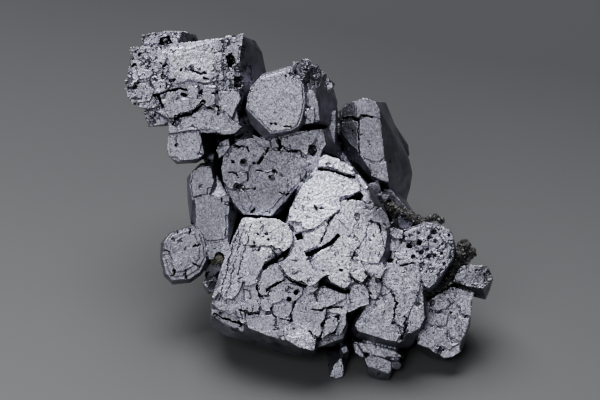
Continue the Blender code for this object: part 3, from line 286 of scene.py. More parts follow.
# Each area's tone scales its colour: partly the surface's own tone, partly painted light and shade
# where faces catch the light or lie in shade.
AREAS = (
    Area("high_left_west", (143, 84), (20, 38), Etch.CRUSTED, tone=1.25),
    Area("high_left_top", (190, 58), (26, 16), Etch.BRIGHT, tone=1.2),
    Area("high_left_east", (230, 60), (14, 24), Etch.CRUSTED),
    Area("high_left_low", (198, 110), (36, 24), Etch.STEPPED),
    Area("under_block", (186, 148), (18, 14), Etch.CALM, tone=1.2),
    Area("crest", (160, 40), (22, 9), Etch.CRUSTED),
    Area("high_left_flank", (246, 82), (8, 14), Etch.SHADED, tone=0.6),
    Area("hexagon", (277, 104), (29, 32), Etch.CALM, tone=1.4),
    Area("hexagon_rim", (312, 74), (18, 12), Etch.SHADED),
    Area("hexagon_wing", (314, 110), (10, 20), Etch.CALM),
    Area("middle_top", (285, 143), (38, 9), Etch.CALM),
    Area("middle", (268, 182), (44, 28), Etch.CALM),
    Area("middle_edge", (306, 174), (8, 10), Etch.SHADED, tone=0.55),
    Area("middle_edge_low", (290, 197), (9, 10), Etch.SHADED, tone=0.55),
    Area("column", (208, 210), (18, 44), Etch.CALM, tone=0.9),
    Area("grain_recess", (214, 274), (9, 12), Etch.DULL_AND_SHADED, tone=0.6),
    Area("knob", (185, 254), (24, 28), Etch.WORN, tone=0.68),
    Area("slab_left", (234, 262), (14, 42), Etch.RIBBED, ribs_along=1.2, tone=1.12),
    Area("slab_top", (268, 232), (24, 18), Etch.BRIGHT, ribs_along=0.35, tone=1.6),
    Area("slab_middle", (270, 282), (32, 20), Etch.STEPPED),
    Area("slab_low", (272, 322), (56, 20), Etch.STEPPED, tone=0.9),
    Area("apex", (325, 186), (36, 38), Etch.BRIGHT, ribs_along=0.75, tone=1.2),
    Area("centre", (350, 240), (32, 36), Etch.STEPPED, tone=1.75),
    Area("diamond", (302, 264), (18, 18), Etch.STEPPED, tone=1.55),
    Area("centre_step", (336, 298), (22, 13), Etch.STEPPED, tone=1.45),
    Area("slab_band", (226, 318), (18, 7), Etch.PITTED, tone=0.6),
    Area("bright_rim", (300, 335), (18, 12), Etch.BRIGHT),
    Area("lower_right", (386, 312), (28, 32), Etch.STEPPED, tone=1.2),
    Area("right_upper", (402, 272), (17, 22), Etch.STEPPED, tone=1.6),
    Area("pitted", (428, 252), (28, 32), Etch.PITTED),
    Area("bar", (470, 280), (20, 14), Etch.PITTED, tone=0.95),
    Area("bar_end", (487, 277), (11, 14), Etch.SHADED, tone=0.5),
    Area("right_low", (446, 324), (28, 34), Etch.STEPPED, tone=1.2),
    Area("right_low_pits", (457, 316), (10, 16), Etch.PITTED, tone=1.1),
    Area("right_tall", (371, 132), (13, 34), Etch.CALM, tone=0.92),
    Area("right_tall_side", (349, 130), (9, 26), Etch.DULL_AND_SHADED, ribs_along=1.45),
    Area("right_flank", (400, 160), (14, 50), Etch.CALM),
    Area("root", (390, 208), (30, 20), Etch.DULL_AND_SHADED),
    Area("feet", (372, 362), (40, 16), Etch.STEPPED),
)

CRACKS = (
    Crack(((155, 96), (160, 94), (172, 91), (178, 90), (186, 88)), 1.8, 1.2),
    Crack(((158, 96), (160, 101), (163, 108)), 2.4, 1.4),
    Crack(((203, 103), (199, 107), (196, 111), (189, 114), (180, 116), (177, 118)), 2.8, 1.7),
    Crack(((175, 118), (174, 126), (178, 127)), 1.9, 1.3),
    Crack(((216, 105), (218, 108), (218, 115)), 1.4, 1.0),
    Crack(((206, 107), (213, 109)), 1.1, 0.7),
    Crack(((160, 63), (163, 67), (168, 65)), 1.2, 0.7),
    Crack(((134, 88), (140, 82)), 1.6),
    Crack(((204, 77), (209, 80)), 1.6),
    Crack(((170, 80), (174, 80), (171, 84), (166, 88)), 1.8, 1.0),
    Crack(((190, 70), (198, 74), (204, 72)), 1.2, 0.7),
    Crack(((284, 126.5), (292, 125.5)), 1.3, 0.8),
    Crack(((232, 143), (238, 148), (242, 145), (246, 146), (250, 150)), 1.5, 1.0),
    Crack(((268, 148), (266, 154), (262, 158), (258, 163)), 2.6, 1.4),
    Crack(((277, 137), (279, 142), (280, 149)), 2.3, 1.4),
    Crack(((281, 146), (288, 151), (300, 151), (307, 157)), 1.1, 0.8),
    Crack(((228, 173), (236, 173), (238, 177)), 1.4, 0.8),
    Crack(((248, 173), (247, 180)), 1.2, 0.7),
    Crack(((256, 171), (270, 172)), 1.0, 0.6),
    Crack(((244, 189), (256, 189)), 1.3),
    Crack(((240, 223), (233, 250), (225, 278), (219, 300)), 0.7, 0.4),
    Crack(((246, 222), (239, 249), (232, 276), (226, 303)), 0.6, 0.35),
    Crack(((252, 224), (245, 252), (238, 274)), 0.7, 0.35),
    Crack(((214, 314), (224, 318), (236, 322), (247, 326)), 1.6, 1.1),
    Crack(((176, 227), (178, 233)), 1.0, 0.6),
    Crack(((190, 228), (188, 234)), 1.0, 0.6),
    Crack(((200, 245), (194, 247)), 1.2, 0.7),
    Crack(((199, 266), (193, 263)), 1.2, 0.7),
    Crack(((187, 280), (185, 273)), 1.2, 0.7),
    Crack(((172, 277), (175, 271)), 1.0, 0.6),
    Crack(((164, 250), (170, 251)), 1.0, 0.6),
    Crack(((280, 192), (284, 195), (290, 194))),
    Crack(((254, 208), (252, 212))),
    Crack(((221, 198), (222, 202)), 1.2, 0.7),
    Crack(((225, 229), (226, 236)), 1.3),
    Crack(((258, 251), (260, 246), (271, 246), (279, 249), (284, 251)), 1.3),
    Crack(((272, 253), (276, 255)), 1.3, 0.8),
    Crack(((286, 276), (296, 281), (306, 286)), 2.2, 1.4),
    Crack(((268, 289), (272, 286), (283, 281)), 1.9, 1.2),
    Crack(((258, 286), (259, 293), (263, 298)), 2.2, 1.4),
    Crack(((241, 310), (250, 313), (258, 312)), 1.7, 1.0),
    Crack(((294, 302), (292, 308), (290, 319)), 1.3),
    Crack(((280, 318), (290, 320)), 1.2, 0.8),
    Crack(((271, 308), (275, 317)), 1.2, 0.8),
    Crack(((312, 309), (322, 309), (327, 307), (342, 306)), 1.5, 1.0),
    Crack(((326, 316), (323, 322), (321, 332), (319, 338)), 1.6, 1.1),
    Crack(((309, 331), (314, 337)), 1.2, 0.8),
    Crack(((338, 211), (333, 216), (329, 221), (324, 233), (320, 244)), 1.8, 1.2),
    Crack(((370, 220), (379, 223), (380, 232)), 1.5, 1.0),
    Crack(((350, 276), (356, 281), (362, 283), (364, 280)), 1.6, 1.1),
    Crack(((355, 252), (352, 259)), 1.2, 0.8),
    Crack(((365, 270), (368, 274)), 1.3),
    Crack(((366, 287), (370, 293), (370, 298)), 1.4, 1.0),
    Crack(((391, 290), (396, 302), (393, 322)), 1.3),
    Crack(((394, 324), (399, 327)), 1.3),
    Crack(((403, 316), (406, 319), (403, 332), (402, 340)), 1.4, 1.0),
    Crack(((400, 264), (413, 263)), 1.4, 1.0),
    Crack(((342, 118), (352, 117), (359, 119), (361, 115), (367, 115), (373, 117)), 1.5, 1.0),
    Crack(((359, 119), (359, 155)), 1.0, 0.5),
)

PITS = (
    Pit((233, 162), 1.8, 1.1),
    Pit((243, 162), 3.2, 0.5, 0.15),
    Pit((275, 172), 2.5, 1.3),
    Pit((271, 178), 2.0, 0.8, 0.12),
    Pit((237, 186), 3.6, 0.6, 0.15),
    Pit((254, 163), 1.6, 0.6),
    Pit((271, 123.5), 1.4, 0.7),
    Pit((275, 123.5), 1.4, 0.7),
    Pit((285, 76), 1.3, 0.7),
    Pit((176, 145), 2.0, 1.0),
    Pit((181, 69), 1.6, 0.9),
    Pit((188, 69), 2.6, 0.5, 0.15),
    Pit((206, 72), 1.8, 0.9),
    Pit((201, 92), 1.9, 1.1),
    Pit((217, 92), 1.5, 0.9),
    Pit((212, 94), 1.9, 0.9),
    Pit((140, 54), 1.8, 0.9),
    Pit((134, 66), 2.2, 1.1),
    Pit((163, 77), 2.0, 1.0),
    Pit((184, 95), 2.2, 1.3),
    Pit((173.5, 271), 1.4, 0.7),
    Pit((185, 271), 1.3, 0.7),
    Pit((183, 274), 1.2, 0.6),
    Pit((258, 234), 1.4),
    Pit((254, 243), 1.4),
    Pit((254, 247), 1.3),
    Pit((268, 234), 1.6),
    Pit((270, 240), 1.6, 0.9),
    Pit((264, 238), 1.2, 0.6),
    Pit((322, 208), 1.4),
    Pit((316, 207), 1.4),
    Pit((341, 270), 1.5),
    Pit((327, 277), 1.9, 1.0),
    Pit((393, 323), 1.9, 1.1),
    Pit((353, 130), 1.2, 0.6),
    Pit((361, 135), 1.2, 0.6),
)


def new_object(name: str, mesh: bpy.types.Mesh) -> bpy.types.Object:
    """Puts a mesh in the scene.

    Args:
        name: The object's name.
        mesh: Its mesh.

    Returns:
        The new object.
    """
    obj = bpy.data.objects.new(name, mesh)
    bpy.context.scene.collection.objects.link(obj)
    return obj


def settled(obj: bpy.types.Object) -> bpy.types.Mesh:
    """Replaces an object's mesh and modifiers by the mesh that they make.

    Args:
        obj: The object.

    Returns:
        Its new plain mesh.
    """
    graph = bpy.context.evaluated_depsgraph_get()
    mesh = bpy.data.meshes.new_from_object(obj.evaluated_get(graph))
    obj.modifiers.clear()
    obj.data = mesh
    return mesh


def vertex_places(mesh: bpy.types.Mesh) -> np.ndarray:
    """The places of a mesh's vertices, one in each row."""
    flat = np.empty(len(mesh.vertices) * 3)
    mesh.vertices.foreach_get("co", flat)
    return flat.reshape(-1, 3)


def vertex_normals(mesh: bpy.types.Mesh) -> np.ndarray:
    """The normals of a mesh's vertices, one in each row."""
    flat = np.empty(len(mesh.vertices) * 3, dtype=np.float32)
    mesh.vertex_normals.foreach_get("vector", flat)
    return flat.reshape(-1, 3).astype(np.float64)


def place_vertices(mesh: bpy.types.Mesh, points: np.ndarray) -> None:
    """Moves a mesh's vertices.

    Args:
        mesh: The mesh.
        points: The vertices' new places, one in each row.
    """
    mesh.vertices.foreach_set("co", points.ravel())
    mesh.update()


def triangle_count(mesh: bpy.types.Mesh) -> int:
    """How many triangles a mesh has."""
    mesh.calc_loop_triangles()
    return len(mesh.loop_triangles)


def step(value: np.ndarray, edge: float, soft: float) -> np.ndarray:
    """A smooth step.

    Args:
        value: The values to judge.
        edge: Where the step stands.
        soft: How wide it is.

    Returns:
        0 well under the edge and 1 well over it.
    """
    t = np.clip((value - edge) / soft + 0.5, 0, 1)
    return t * t * (3 - 2 * t)


@dataclass(frozen=True)
class Skin:
    """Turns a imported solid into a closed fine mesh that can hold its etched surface."""

    voxel_mm: float
    most_triangles: int = 0
    quick_voxel_mm: float = 0.4

    def dense(self, node: str, name: str) -> bpy.types.Object:
        """Remeshes a node evenly.

        Args:
            node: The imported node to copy.
            name: The new piece's name.

        Returns:
            The new object. Its mesh is in millimetres.
        """
        bm = bmesh.new()
        bm.from_mesh(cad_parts[node].data)
        bmesh.ops.scale(bm, vec=(1 / MM,) * 3, verts=bm.verts)
        bmesh.ops.remove_doubles(bm, verts=bm.verts, dist=0.001)
        mesh = bpy.data.meshes.new(name)
        bm.to_mesh(mesh)
        bm.free()
        flat = new_object(f"{name}_flat_faces", mesh)
        obj = new_object(name, mesh.copy())
        remesh = obj.modifiers.new("even_grain", "REMESH")
        remesh.mode = "VOXEL"
        remesh.voxel_size = self.voxel_mm
        wrap = obj.modifiers.new("flat_faces", "SHRINKWRAP")
        wrap.wrap_method = "NEAREST_SURFACEPOINT"
        wrap.target = flat
        settled(obj)
        bpy.data.objects.remove(flat)
        return obj

    def thin_out(self, obj: bpy.types.Object) -> None:
        """Collapses the flattest parts of a mesh until it is within its limit."""
        count = triangle_count(obj.data)
        if count > self.most_triangles:
            rest = obj.modifiers.new("fewer", "DECIMATE")
            rest.ratio = self.most_triangles / count
            settled(obj)


def store(mesh: bpy.types.Mesh, marks: dict[str, np.ndarray]) -> None:
    """Keeps some numbers for each vertex, for a finish to read.

    Args:
        mesh: The mesh.
        marks: The numbers by name.
    """
    for name, values in marks.items():
        layer = mesh.attributes.new(name, "FLOAT", "POINT")
        layer.data.foreach_set("value", values.astype(np.float32))


def corners(mesh: bpy.types.Mesh) -> np.ndarray:
    """The four vertices of each face of a mesh that has only four-sided faces."""
    flat = np.empty(len(mesh.loops), dtype=np.int32)
    mesh.loops.foreach_get("vertex_index", flat)
    return flat.reshape(-1, 4)


def some_faces(
    name: str, points: np.ndarray, faces: np.ndarray, marks: dict[str, np.ndarray]
) -> bpy.types.Mesh:
    """Makes a mesh of some of the faces of a larger one.

    Args:
        name: The new mesh's name.
        points: The larger mesh's vertices.
        faces: The chosen faces, as the numbers of their four vertices.
        marks: The numbers that the larger mesh keeps for each vertex, by name.

    Returns:
        The new mesh, with its share of the numbers.
    """
    used, renumbered = np.unique(faces, return_inverse=True)
    mesh = bpy.data.meshes.new(name)
    mesh.vertices.add(len(used))
    mesh.vertices.foreach_set("co", points[used].ravel())
    mesh.loops.add(faces.size)
    mesh.loops.foreach_set("vertex_index", renumbered.ravel().astype(np.int32))
    mesh.polygons.add(len(faces))
    mesh.polygons.foreach_set("loop_start", np.arange(len(faces), dtype=np.int32) * 4)
    mesh.update(calc_edges=True)
    store(mesh, {key: values[used] for key, values in marks.items()})
    return mesh


def cavities(mesh: bpy.types.Mesh, rounds: int) -> np.ndarray:
    """How deep each vertex lies in a groove, or how far out on an edge.

    Args:
        mesh: The mesh.
        rounds: How far round the vertex to look.

    Returns:
        Positive numbers in grooves and negative ones on edges, in the mesh's unit.
    """
    edges = np.empty(len(mesh.edges) * 2, dtype=np.int64)
    mesh.edges.foreach_get("vertices", edges)
    one, other = edges.reshape(-1, 2).T
    places = vertex_places(mesh)
    normals = vertex_normals(mesh)
    count = len(places)
    degree = np.bincount(one, minlength=count) + np.bincount(other, minlength=count)
    around = places.copy()
    for _ in range(rounds):
        total = np.empty_like(around)
        for axis in range(3):
            total[:, axis] = np.bincount(one, around[other, axis], count)
            total[:, axis] += np.bincount(other, around[one, axis], count)
        around = total / np.maximum(degree, 1)[:, None]
    return np.einsum("ij,ij->i", around - places, normals)


@dataclass(frozen=True)
class Region:
    """A stretch of the sheet whose skin is one piece, so that no piece is too heavy."""

    name: str
    low: Spot
    high: Spot
    most_triangles: int


SHEET_WIDE = 600
SHEET_TALL = 400
HIGH_ENDS = 160
LEFT_ENDS = 297
CENTRE_ENDS = 378
REGIONS = (
    Region("etched_high", (0, 0), (SHEET_WIDE, HIGH_ENDS), 197000),
    Region("etched_left", (0, HIGH_ENDS), (LEFT_ENDS, SHEET_TALL), 197000),
    Region("etched_centre", (LEFT_ENDS, HIGH_ENDS), (CENTRE_ENDS, SHEET_TALL), 160000),
    Region("etched_right", (CENTRE_ENDS, HIGH_ENDS), (SHEET_WIDE, SHEET_TALL), 170000),
)
BACK = Region("etched_back", (0, 0), (SHEET_WIDE, SHEET_TALL), 90000)


@dataclass
class GalenaCluster:
    """The cluster of grey crystals, with its etched skin."""

    sheet: Sheet = field(default_factory=Sheet)
    noise: GrownNoise = field(default_factory=lambda: GrownNoise(11))
    skin: Skin = field(default_factory=lambda: Skin(voxel_mm=0.205))
    terrace_mm: float = 0.36
    terrace_wide_mm: tuple[float, float] = (5.2, 1.9)
    craze_mm: float = 0.2
    craze_every_mm: float = 2.0
    # How dark the painted shade in the crazing cracks is.
    craze_shade: float = 0.85
    pit_mm: float = 0.42
    pit_every_mm: tuple[float, float] = (1.2, 0.7)
    # How dark the painted shade in the pits is.
    pit_shade: float = 0.9
    grain_mm: float = 0.06
    grain_wide_mm: tuple[float, float] = (0.95, 0.38)
    rib_mm: float = 0.025
    rib_every_mm: float = 0.8
    back_turn: float = -0.12
    back_out_mm: float = -17.0
    ragged_mm: float = 0.42
    ragged_wide_mm: float = 1.5
    ragged_most: float = 1.6
    smooth_hold: float = 0.8
    foot_mm: float = 0.8
    # Gaps this deep get painted shade.
    gap_reach: int = 4
    gap_mm: float = 1.9
    gap_soft_mm: float = 1.4
    drawn_facing: float = 0.25
    drawn_out_mm: float = -16.0
    drawn_wander: float = 1.5

    def build(self) -> None:
        """Makes the pieces, each riding on the root body in place of the cluster's node."""
        whole = self.skin.dense("galena_cluster", "whole_skin")
        LOG.info("galena remeshed to %d triangles", triangle_count(whole.data))
        LOG.info("etched areas: %s", ", ".join(area.name for area in AREAS))
        places = vertex_places(whole.data)
        turned = vertex_normals(whole.data) @ self.sheet.axes().T
        drawn = self.sheet.places(places)
        smooth_shaded_face = self.smooth_shaded_faces(turned)
        etching = self.strengths(drawn)
        out, crevice_shade = self.relief(places, drawn, turned[:, 2], etching)
        out *= (1 - self.smooth_hold * smooth_shaded_face) * np.clip(places[:, 2] / self.foot_mm, 0, 1)
        low, high = (np.array(corner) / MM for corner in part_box("galena_cluster"))
        normals = vertex_normals(whole.data)
        push = self.raggedness(places, etching, smooth_shaded_face)
        push -= normals * np.einsum("ij,ij->i", push, normals)[:, None]
        points = np.clip(places + normals * out[:, None] + push, low, high)
        place_vertices(whole.data, points)
        marks = {
            # Painted highlight on convex edges.
            "edge_highlight": -cavities(whole.data, 2),
            # Painted shade in cracks, pits and gaps.
            "crevice_shade": np.maximum(crevice_shade, self.gaps(self.sheet.places(points), turned[:, 2])),
            # Smooth faces turned right or down, which get painted shade.
            "smooth_shaded_face": smooth_shaded_face,
            # Each area's tone, partly painted light and shade.
            "tone_and_painted_light": etching[:, 5],
        }
        faces = corners(whole.data)
        bpy.data.objects.remove(whole)
        middles = drawn[faces].mean(axis=1)
        behind = turned[faces, 2].mean(axis=1) < self.back_turn
        behind |= middles[:, 2] < self.back_out_mm
        finish = GalenaFinish().make()
        self.piece(BACK, points * MM, faces[behind], marks, finish)
        for region in REGIONS:
            inside = ((middles[:, :2] >= region.low) & (middles[:, :2] < region.high)).all(axis=1)
            self.piece(region, points * MM, faces[inside & ~behind], marks, finish)

    def piece(
        self,
        region: Region,
        points: np.ndarray,
        faces: np.ndarray,
        marks: dict[str, np.ndarray],
        finish: bpy.types.Material,
    ) -> None:
        """Makes one region's piece of the skin.

        Args:
            region: The region.
            points: The whole skin's vertices in metres.
            faces: The region's faces.
            marks: What the skin keeps for each vertex.
            finish: The skin's material.
        """
        obj = new_object(region.name, some_faces(region.name, points, faces, marks))
        Skin(self.skin.voxel_mm, region.most_triangles).thin_out(obj)
        obj.data.materials.append(finish)
        obj.data.shade_flat()
        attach(obj, "root")
        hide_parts("galena_cluster")
        LOG.info("%s has %d triangles", region.name, triangle_count(obj.data))

    def smooth_shaded_faces(self, turned: np.ndarray) -> np.ndarray:
        """Which faces stayed smooth and unetched: those turned to the right or down, whose colour is
        painted shade.

        Args:
            turned: The vertices' normals on the sheet.

        Returns:
            0 on etched faces and 1 on smooth ones.
        """
        return np.maximum(step(turned[:, 0], 0.55, 0.25), step(-turned[:, 1], 0.42, 0.25))

    def raggedness(
        self, places: np.ndarray, strength: np.ndarray, smooth_shaded_face: np.ndarray
    ) -> np.ndarray:
        """How far each vertex is pushed sideways, so that no edge stays quite straight.

        Args:
            places: The vertices' places in millimetres.
            strength: How strong each kind of etching is at each.
            smooth_shaded_face: 0 on etched faces and 1 on smooth ones.

        Returns:
            Three millimetres in each row, and none where the specimen rests.
        """
        push = np.column_stack(
            [self.noise.rough(places, self.ragged_wide_mm, 2, salt) for salt in (110, 113, 116)]
        )
        stepped = np.clip(strength[:, 0] / Etch.STEPPED.value[0], 0, self.ragged_most)
        amount = (0.35 + 0.65 * stepped) * (1 - self.smooth_hold * smooth_shaded_face)
        above_floor = np.clip(places[:, 2] / self.foot_mm, 0, 1)
        return push * (amount * self.ragged_mm * above_floor)[:, None]

    def gaps(self, drawn: np.ndarray, facing: np.ndarray) -> np.ndarray:
        """Painted shade in the gaps between the ledges, where the ground is higher on both sides.

        Args:
            drawn: The vertices' places on the sheet.
            facing: How squarely each faces the viewer.

        Returns:
            0 on open ground and 1 in a gap.
        """
        edge = 40
        no_ground_mm = -60.0
        column = np.rint(drawn[:, 0]).astype(int).clip(-edge, SHEET_WIDE + edge - 1) + edge
        row = np.rint(drawn[:, 1]).astype(int).clip(-edge, SHEET_TALL + edge - 1) + edge
        tall = np.full((SHEET_TALL + 2 * edge, SHEET_WIDE + 2 * edge), no_ground_mm)
        np.maximum.at(tall, (row, column), drawn[:, 2])
        brink = np.full_like(tall, no_ground_mm)
        for down, right in ((1, 0), (0, 1), (1, 1), (1, -1)):
            sides = []
            for way in (1, -1):
                shifts = [
                    np.roll(tall, (way * down * far, way * right * far), (0, 1))
                    for far in range(1, self.gap_reach + 1)
                ]
                sides.append(np.maximum.reduce(shifts))
            brink = np.maximum(brink, np.minimum(*sides))
        depth = brink[row, column] - drawn[:, 2]
        return step(depth, self.gap_mm, self.gap_soft_mm) * step(facing, 0.0, 0.3)

    def strengths(self, drawn: np.ndarray) -> np.ndarray:
        """How strong each kind of etching is at each vertex.

        Args:
            drawn: The vertices' places on the sheet.

        Returns:
            Six strengths in each row, as Etch orders them, and then the direction of the ribs.
        """
        base = np.array((*Etch.STEPPED.value, 0.0))
        total = np.full(len(drawn), 0.04)
        mixed = np.outer(total, base)
        for area in AREAS:
            away = (drawn[:, :2] - area.middle) / area.reach
            weight = np.exp(-((away**2).sum(axis=1) ** 2) * 1.2)
            total += weight
            *kinds, tone_and_painted_light = area.etch.value
            mixed += np.outer(weight, np.array((*kinds, tone_and_painted_light * area.tone, area.ribs_along)))
        return mixed / total[:, None]

    def relief(
        self, places: np.ndarray, drawn: np.ndarray, facing: np.ndarray, strength: np.ndarray
    ) -> tuple[np.ndarray, np.ndarray]:
        """How far the skin stands out at each vertex, and where painted shade makes it black.

        Args:
            places: The vertices' places in millimetres.
            drawn: Their places on the sheet.
            facing: How squarely each faces the viewer, from -1 to 1.
            strength: How strong each kind of etching is at each.

        Returns:
            Millimetres along the normal, negative inwards, and the painted shade: 1 in cracks and pits
            but 0 elsewhere.
        """
        craze = self.crazing(places, strength[:, 1])
        pits = self.etched_pits(places, strength[:, 2])
        marks, drawn_crevice_shade = self.drawn_marks(drawn, facing)
        out = self.terraces(places) * self.terrace_mm * strength[:, 0]
        out -= craze * self.craze_mm + pits * self.pit_mm
        out += self.grains(places) * self.grain_mm * strength[:, 3]
        out += self.ribs(drawn, strength[:, 6]) * self.rib_mm * strength[:, 4] * np.clip(facing, 0, 1)
        # Painted shade in the crazing cracks, the pits and the drawn cracks and pits.
        crevice_shade = np.maximum.reduce([craze * self.craze_shade, pits * self.pit_shade, drawn_crevice_shade])
        return out + marks, crevice_shade

    def terraces(self, places: np.ndarray) -> np.ndarray:
        """Flat growth steps with lobed edges."""
        warp = np.column_stack([self.noise.smooth(places, 3.0, salt) for salt in (20, 21, 22)])
        wide = self.noise.smooth(places + warp * 0.9, self.terrace_wide_mm[0], 30)
        fine = self.noise.smooth(places + warp * 0.7, self.terrace_wide_mm[1], 31)
        return np.floor(wide * 2.6) / 2.6 + 0.45 * np.floor(fine * 1.9) / 1.9

    def crazing(self, places: np.ndarray, strength: np.ndarray) -> np.ndarray:
        """Short hooked hairline cracks.

        Args:
            places: The vertices' places in millimetres.
            strength: How much of the surface has cracks.

        Returns:
            1 in a crack and 0 elsewhere.
        """
        warp = np.column_stack([self.noise.smooth(places, 0.9, salt) for salt in (40, 41, 42)])
        near, after, _ = self.noise.cells(places + warp * 0.5, self.craze_every_mm, 50)
        groove = 1 - step(after - near, 0.09, 0.1)
        patch = step(self.noise.smooth(places, 1.7, 55) + 1.1 * strength, 0.82, 0.25)
        return groove * patch

    def etched_pits(self, places: np.ndarray, density: np.ndarray) -> np.ndarray:
        """Small ragged pits, in more of the grains where the area is more deeply etched.

        Args:
            places: The vertices' places in millimetres.
            density: How many of the grains have a pit.

        Returns:
            1 in a pit and 0 elsewhere.
        """
        warp = np.column_stack([self.noise.smooth(places, 0.5, salt) for salt in (62, 63, 64)])
        near, _, grain = self.noise.cells(places + warp * 0.16, self.pit_every_mm[0], 60)
        large = (grain < 0.4 * density) * (1 - step(near, 0.17 + 0.2 * grain, 0.12))
        near, _, grain = self.noise.cells(places + warp * 0.1, self.pit_every_mm[1], 70)
        small = (grain < 0.4 * density) * (1 - step(near, 0.24, 0.16))
        return np.maximum(large, 0.8 * small)

    def grains(self, places: np.ndarray) -> np.ndarray:
        """The finest roughness that the mesh can hold."""
        wide, fine = self.grain_wide_mm
        return self.noise.rough(places, wide, 2, 80) + 0.5 * self.noise.smooth(places, fine, 85)

    def ribs(self, drawn: np.ndarray, along: np.ndarray) -> np.ndarray:
        """Fine parallel growth lines."""
        flat = drawn[:, :2] * self.sheet.square_mm
        across = flat[:, 1] * np.cos(along) + flat[:, 0] * np.sin(along)
        wander = self.noise.smooth(np.column_stack((flat, drawn[:, 2])), 3.0, 90)
        return np.sin((across + 0.12 * wander) * 2 * math.pi / self.rib_every_mm)

    def drawn_marks(self, drawn: np.ndarray, facing: np.ndarray) -> tuple[np.ndarray, np.ndarray]:
        """The cracks and pits that are seen one by one.

        Args:
            drawn: The vertices' places on the sheet.
            facing: How squarely each faces the viewer.

        Returns:
            Millimetres, negative inwards, and the painted shade: 1 in a crack or pit and 0 elsewhere.
        """
        seen = np.nonzero((facing > self.drawn_facing) & (drawn[:, 2] > self.drawn_out_mm))[0]
        wander = np.column_stack(
            [self.noise.rough(drawn[seen] * (1, 1, 0), 5.0, 2, salt) for salt in (100, 103)]
        )
        flat = drawn[seen, :2] + wander * self.drawn_wander
        marks = np.zeros(len(seen))
        # How much painted shade each vertex gets in the drawn cracks and pits.
        black = np.zeros(len(seen))
        around = 4
        for crack in CRACKS:
            path = np.array(crack.path, dtype=float)
            low, high = path.min(0) - around, path.max(0) + around
            close = np.nonzero(((flat > low) & (flat < high)).all(axis=1))[0]
            away = np.full(len(close), 99.0)
            for start, end in zip(path[:-1], path[1:]):
                edge = end - start
                share = np.clip(((flat[close] - start) @ edge) / (edge @ edge), 0, 1)
                gap = np.linalg.norm(flat[close] - start - share[:, None] * edge, axis=1)
                away = np.minimum(away, gap)
            within = 1 - step(away, crack.wide / 2, 0.7)
            marks[close] = np.minimum(marks[close], -crack.deep_mm * within)
            black[close] = np.maximum(black[close], within)
        for pit in PITS:
            away = np.linalg.norm(flat - pit.middle, axis=1)
            close = away < pit.radius + around
            within = 1 - step(away[close], pit.radius * 0.85, 0.9)
            rim = np.exp(-(((away[close] - pit.radius) / 0.7) ** 2))
            marks[close] = np.minimum(marks[close], -pit.deep_mm * within) + pit.rim_mm * rim
            shade = rim * 0.8 if pit.rim_mm else within
            black[close] = np.maximum(black[close], shade)
        out = np.zeros(len(drawn))
        crevice_shade = np.zeros(len(drawn))
        out[seen] = marks
        crevice_shade[seen] = black
        return out, crevice_shade


@dataclass
class Crust:
    """A granular crust of another mineral in a pocket of the galena."""

    node: str
    name: str
    slot: str
    finish: "CrustFinish"
    noise: GrownNoise = field(default_factory=lambda: GrownNoise(23))
    skin: Skin = field(default_factory=lambda: Skin(voxel_mm=0.13, most_triangles=40000))
    grain_every_mm: float = 1.0
    grain_mm: float = 0.42
    grain_middle: float = 0.75
    grit_mm: float = 0.08
    grit_wide_mm: float = 0.5

    def build(self) -> None:
        """Makes the piece, riding on the root body in place of its node."""
        obj = self.skin.dense(self.node, self.name)
        places = vertex_places(obj.data)
        normals = vertex_normals(obj.data)
        near, after, grain = self.noise.cells(places, self.grain_every_mm)
        lump = step(after - near, 0.2, 0.4) * (0.4 + 0.6 * grain)
        grit = self.noise.rough(places, self.grit_wide_mm, 2, 9)
        out = (lump - self.grain_middle) * self.grain_mm + grit * self.grit_mm
        low, high = (np.array(corner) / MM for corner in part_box(self.node))
        place_vertices(obj.data, np.clip(places + normals * out[:, None], low, high))
        # Kept for the painted shade in the grooves between the grains.
        store(obj.data, {"groove": cavities(obj.data, 3)})
        self.skin.thin_out(obj)
        obj.data.transform(Matrix.Scale(MM, 4))
        obj.data.materials.clear()
        obj.data.materials.append(self.finish.make())
        obj.data.shade_flat()
        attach(obj, "root")
        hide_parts(self.node)
        LOG.info("%s has %d triangles", self.name, triangle_count(obj.data))


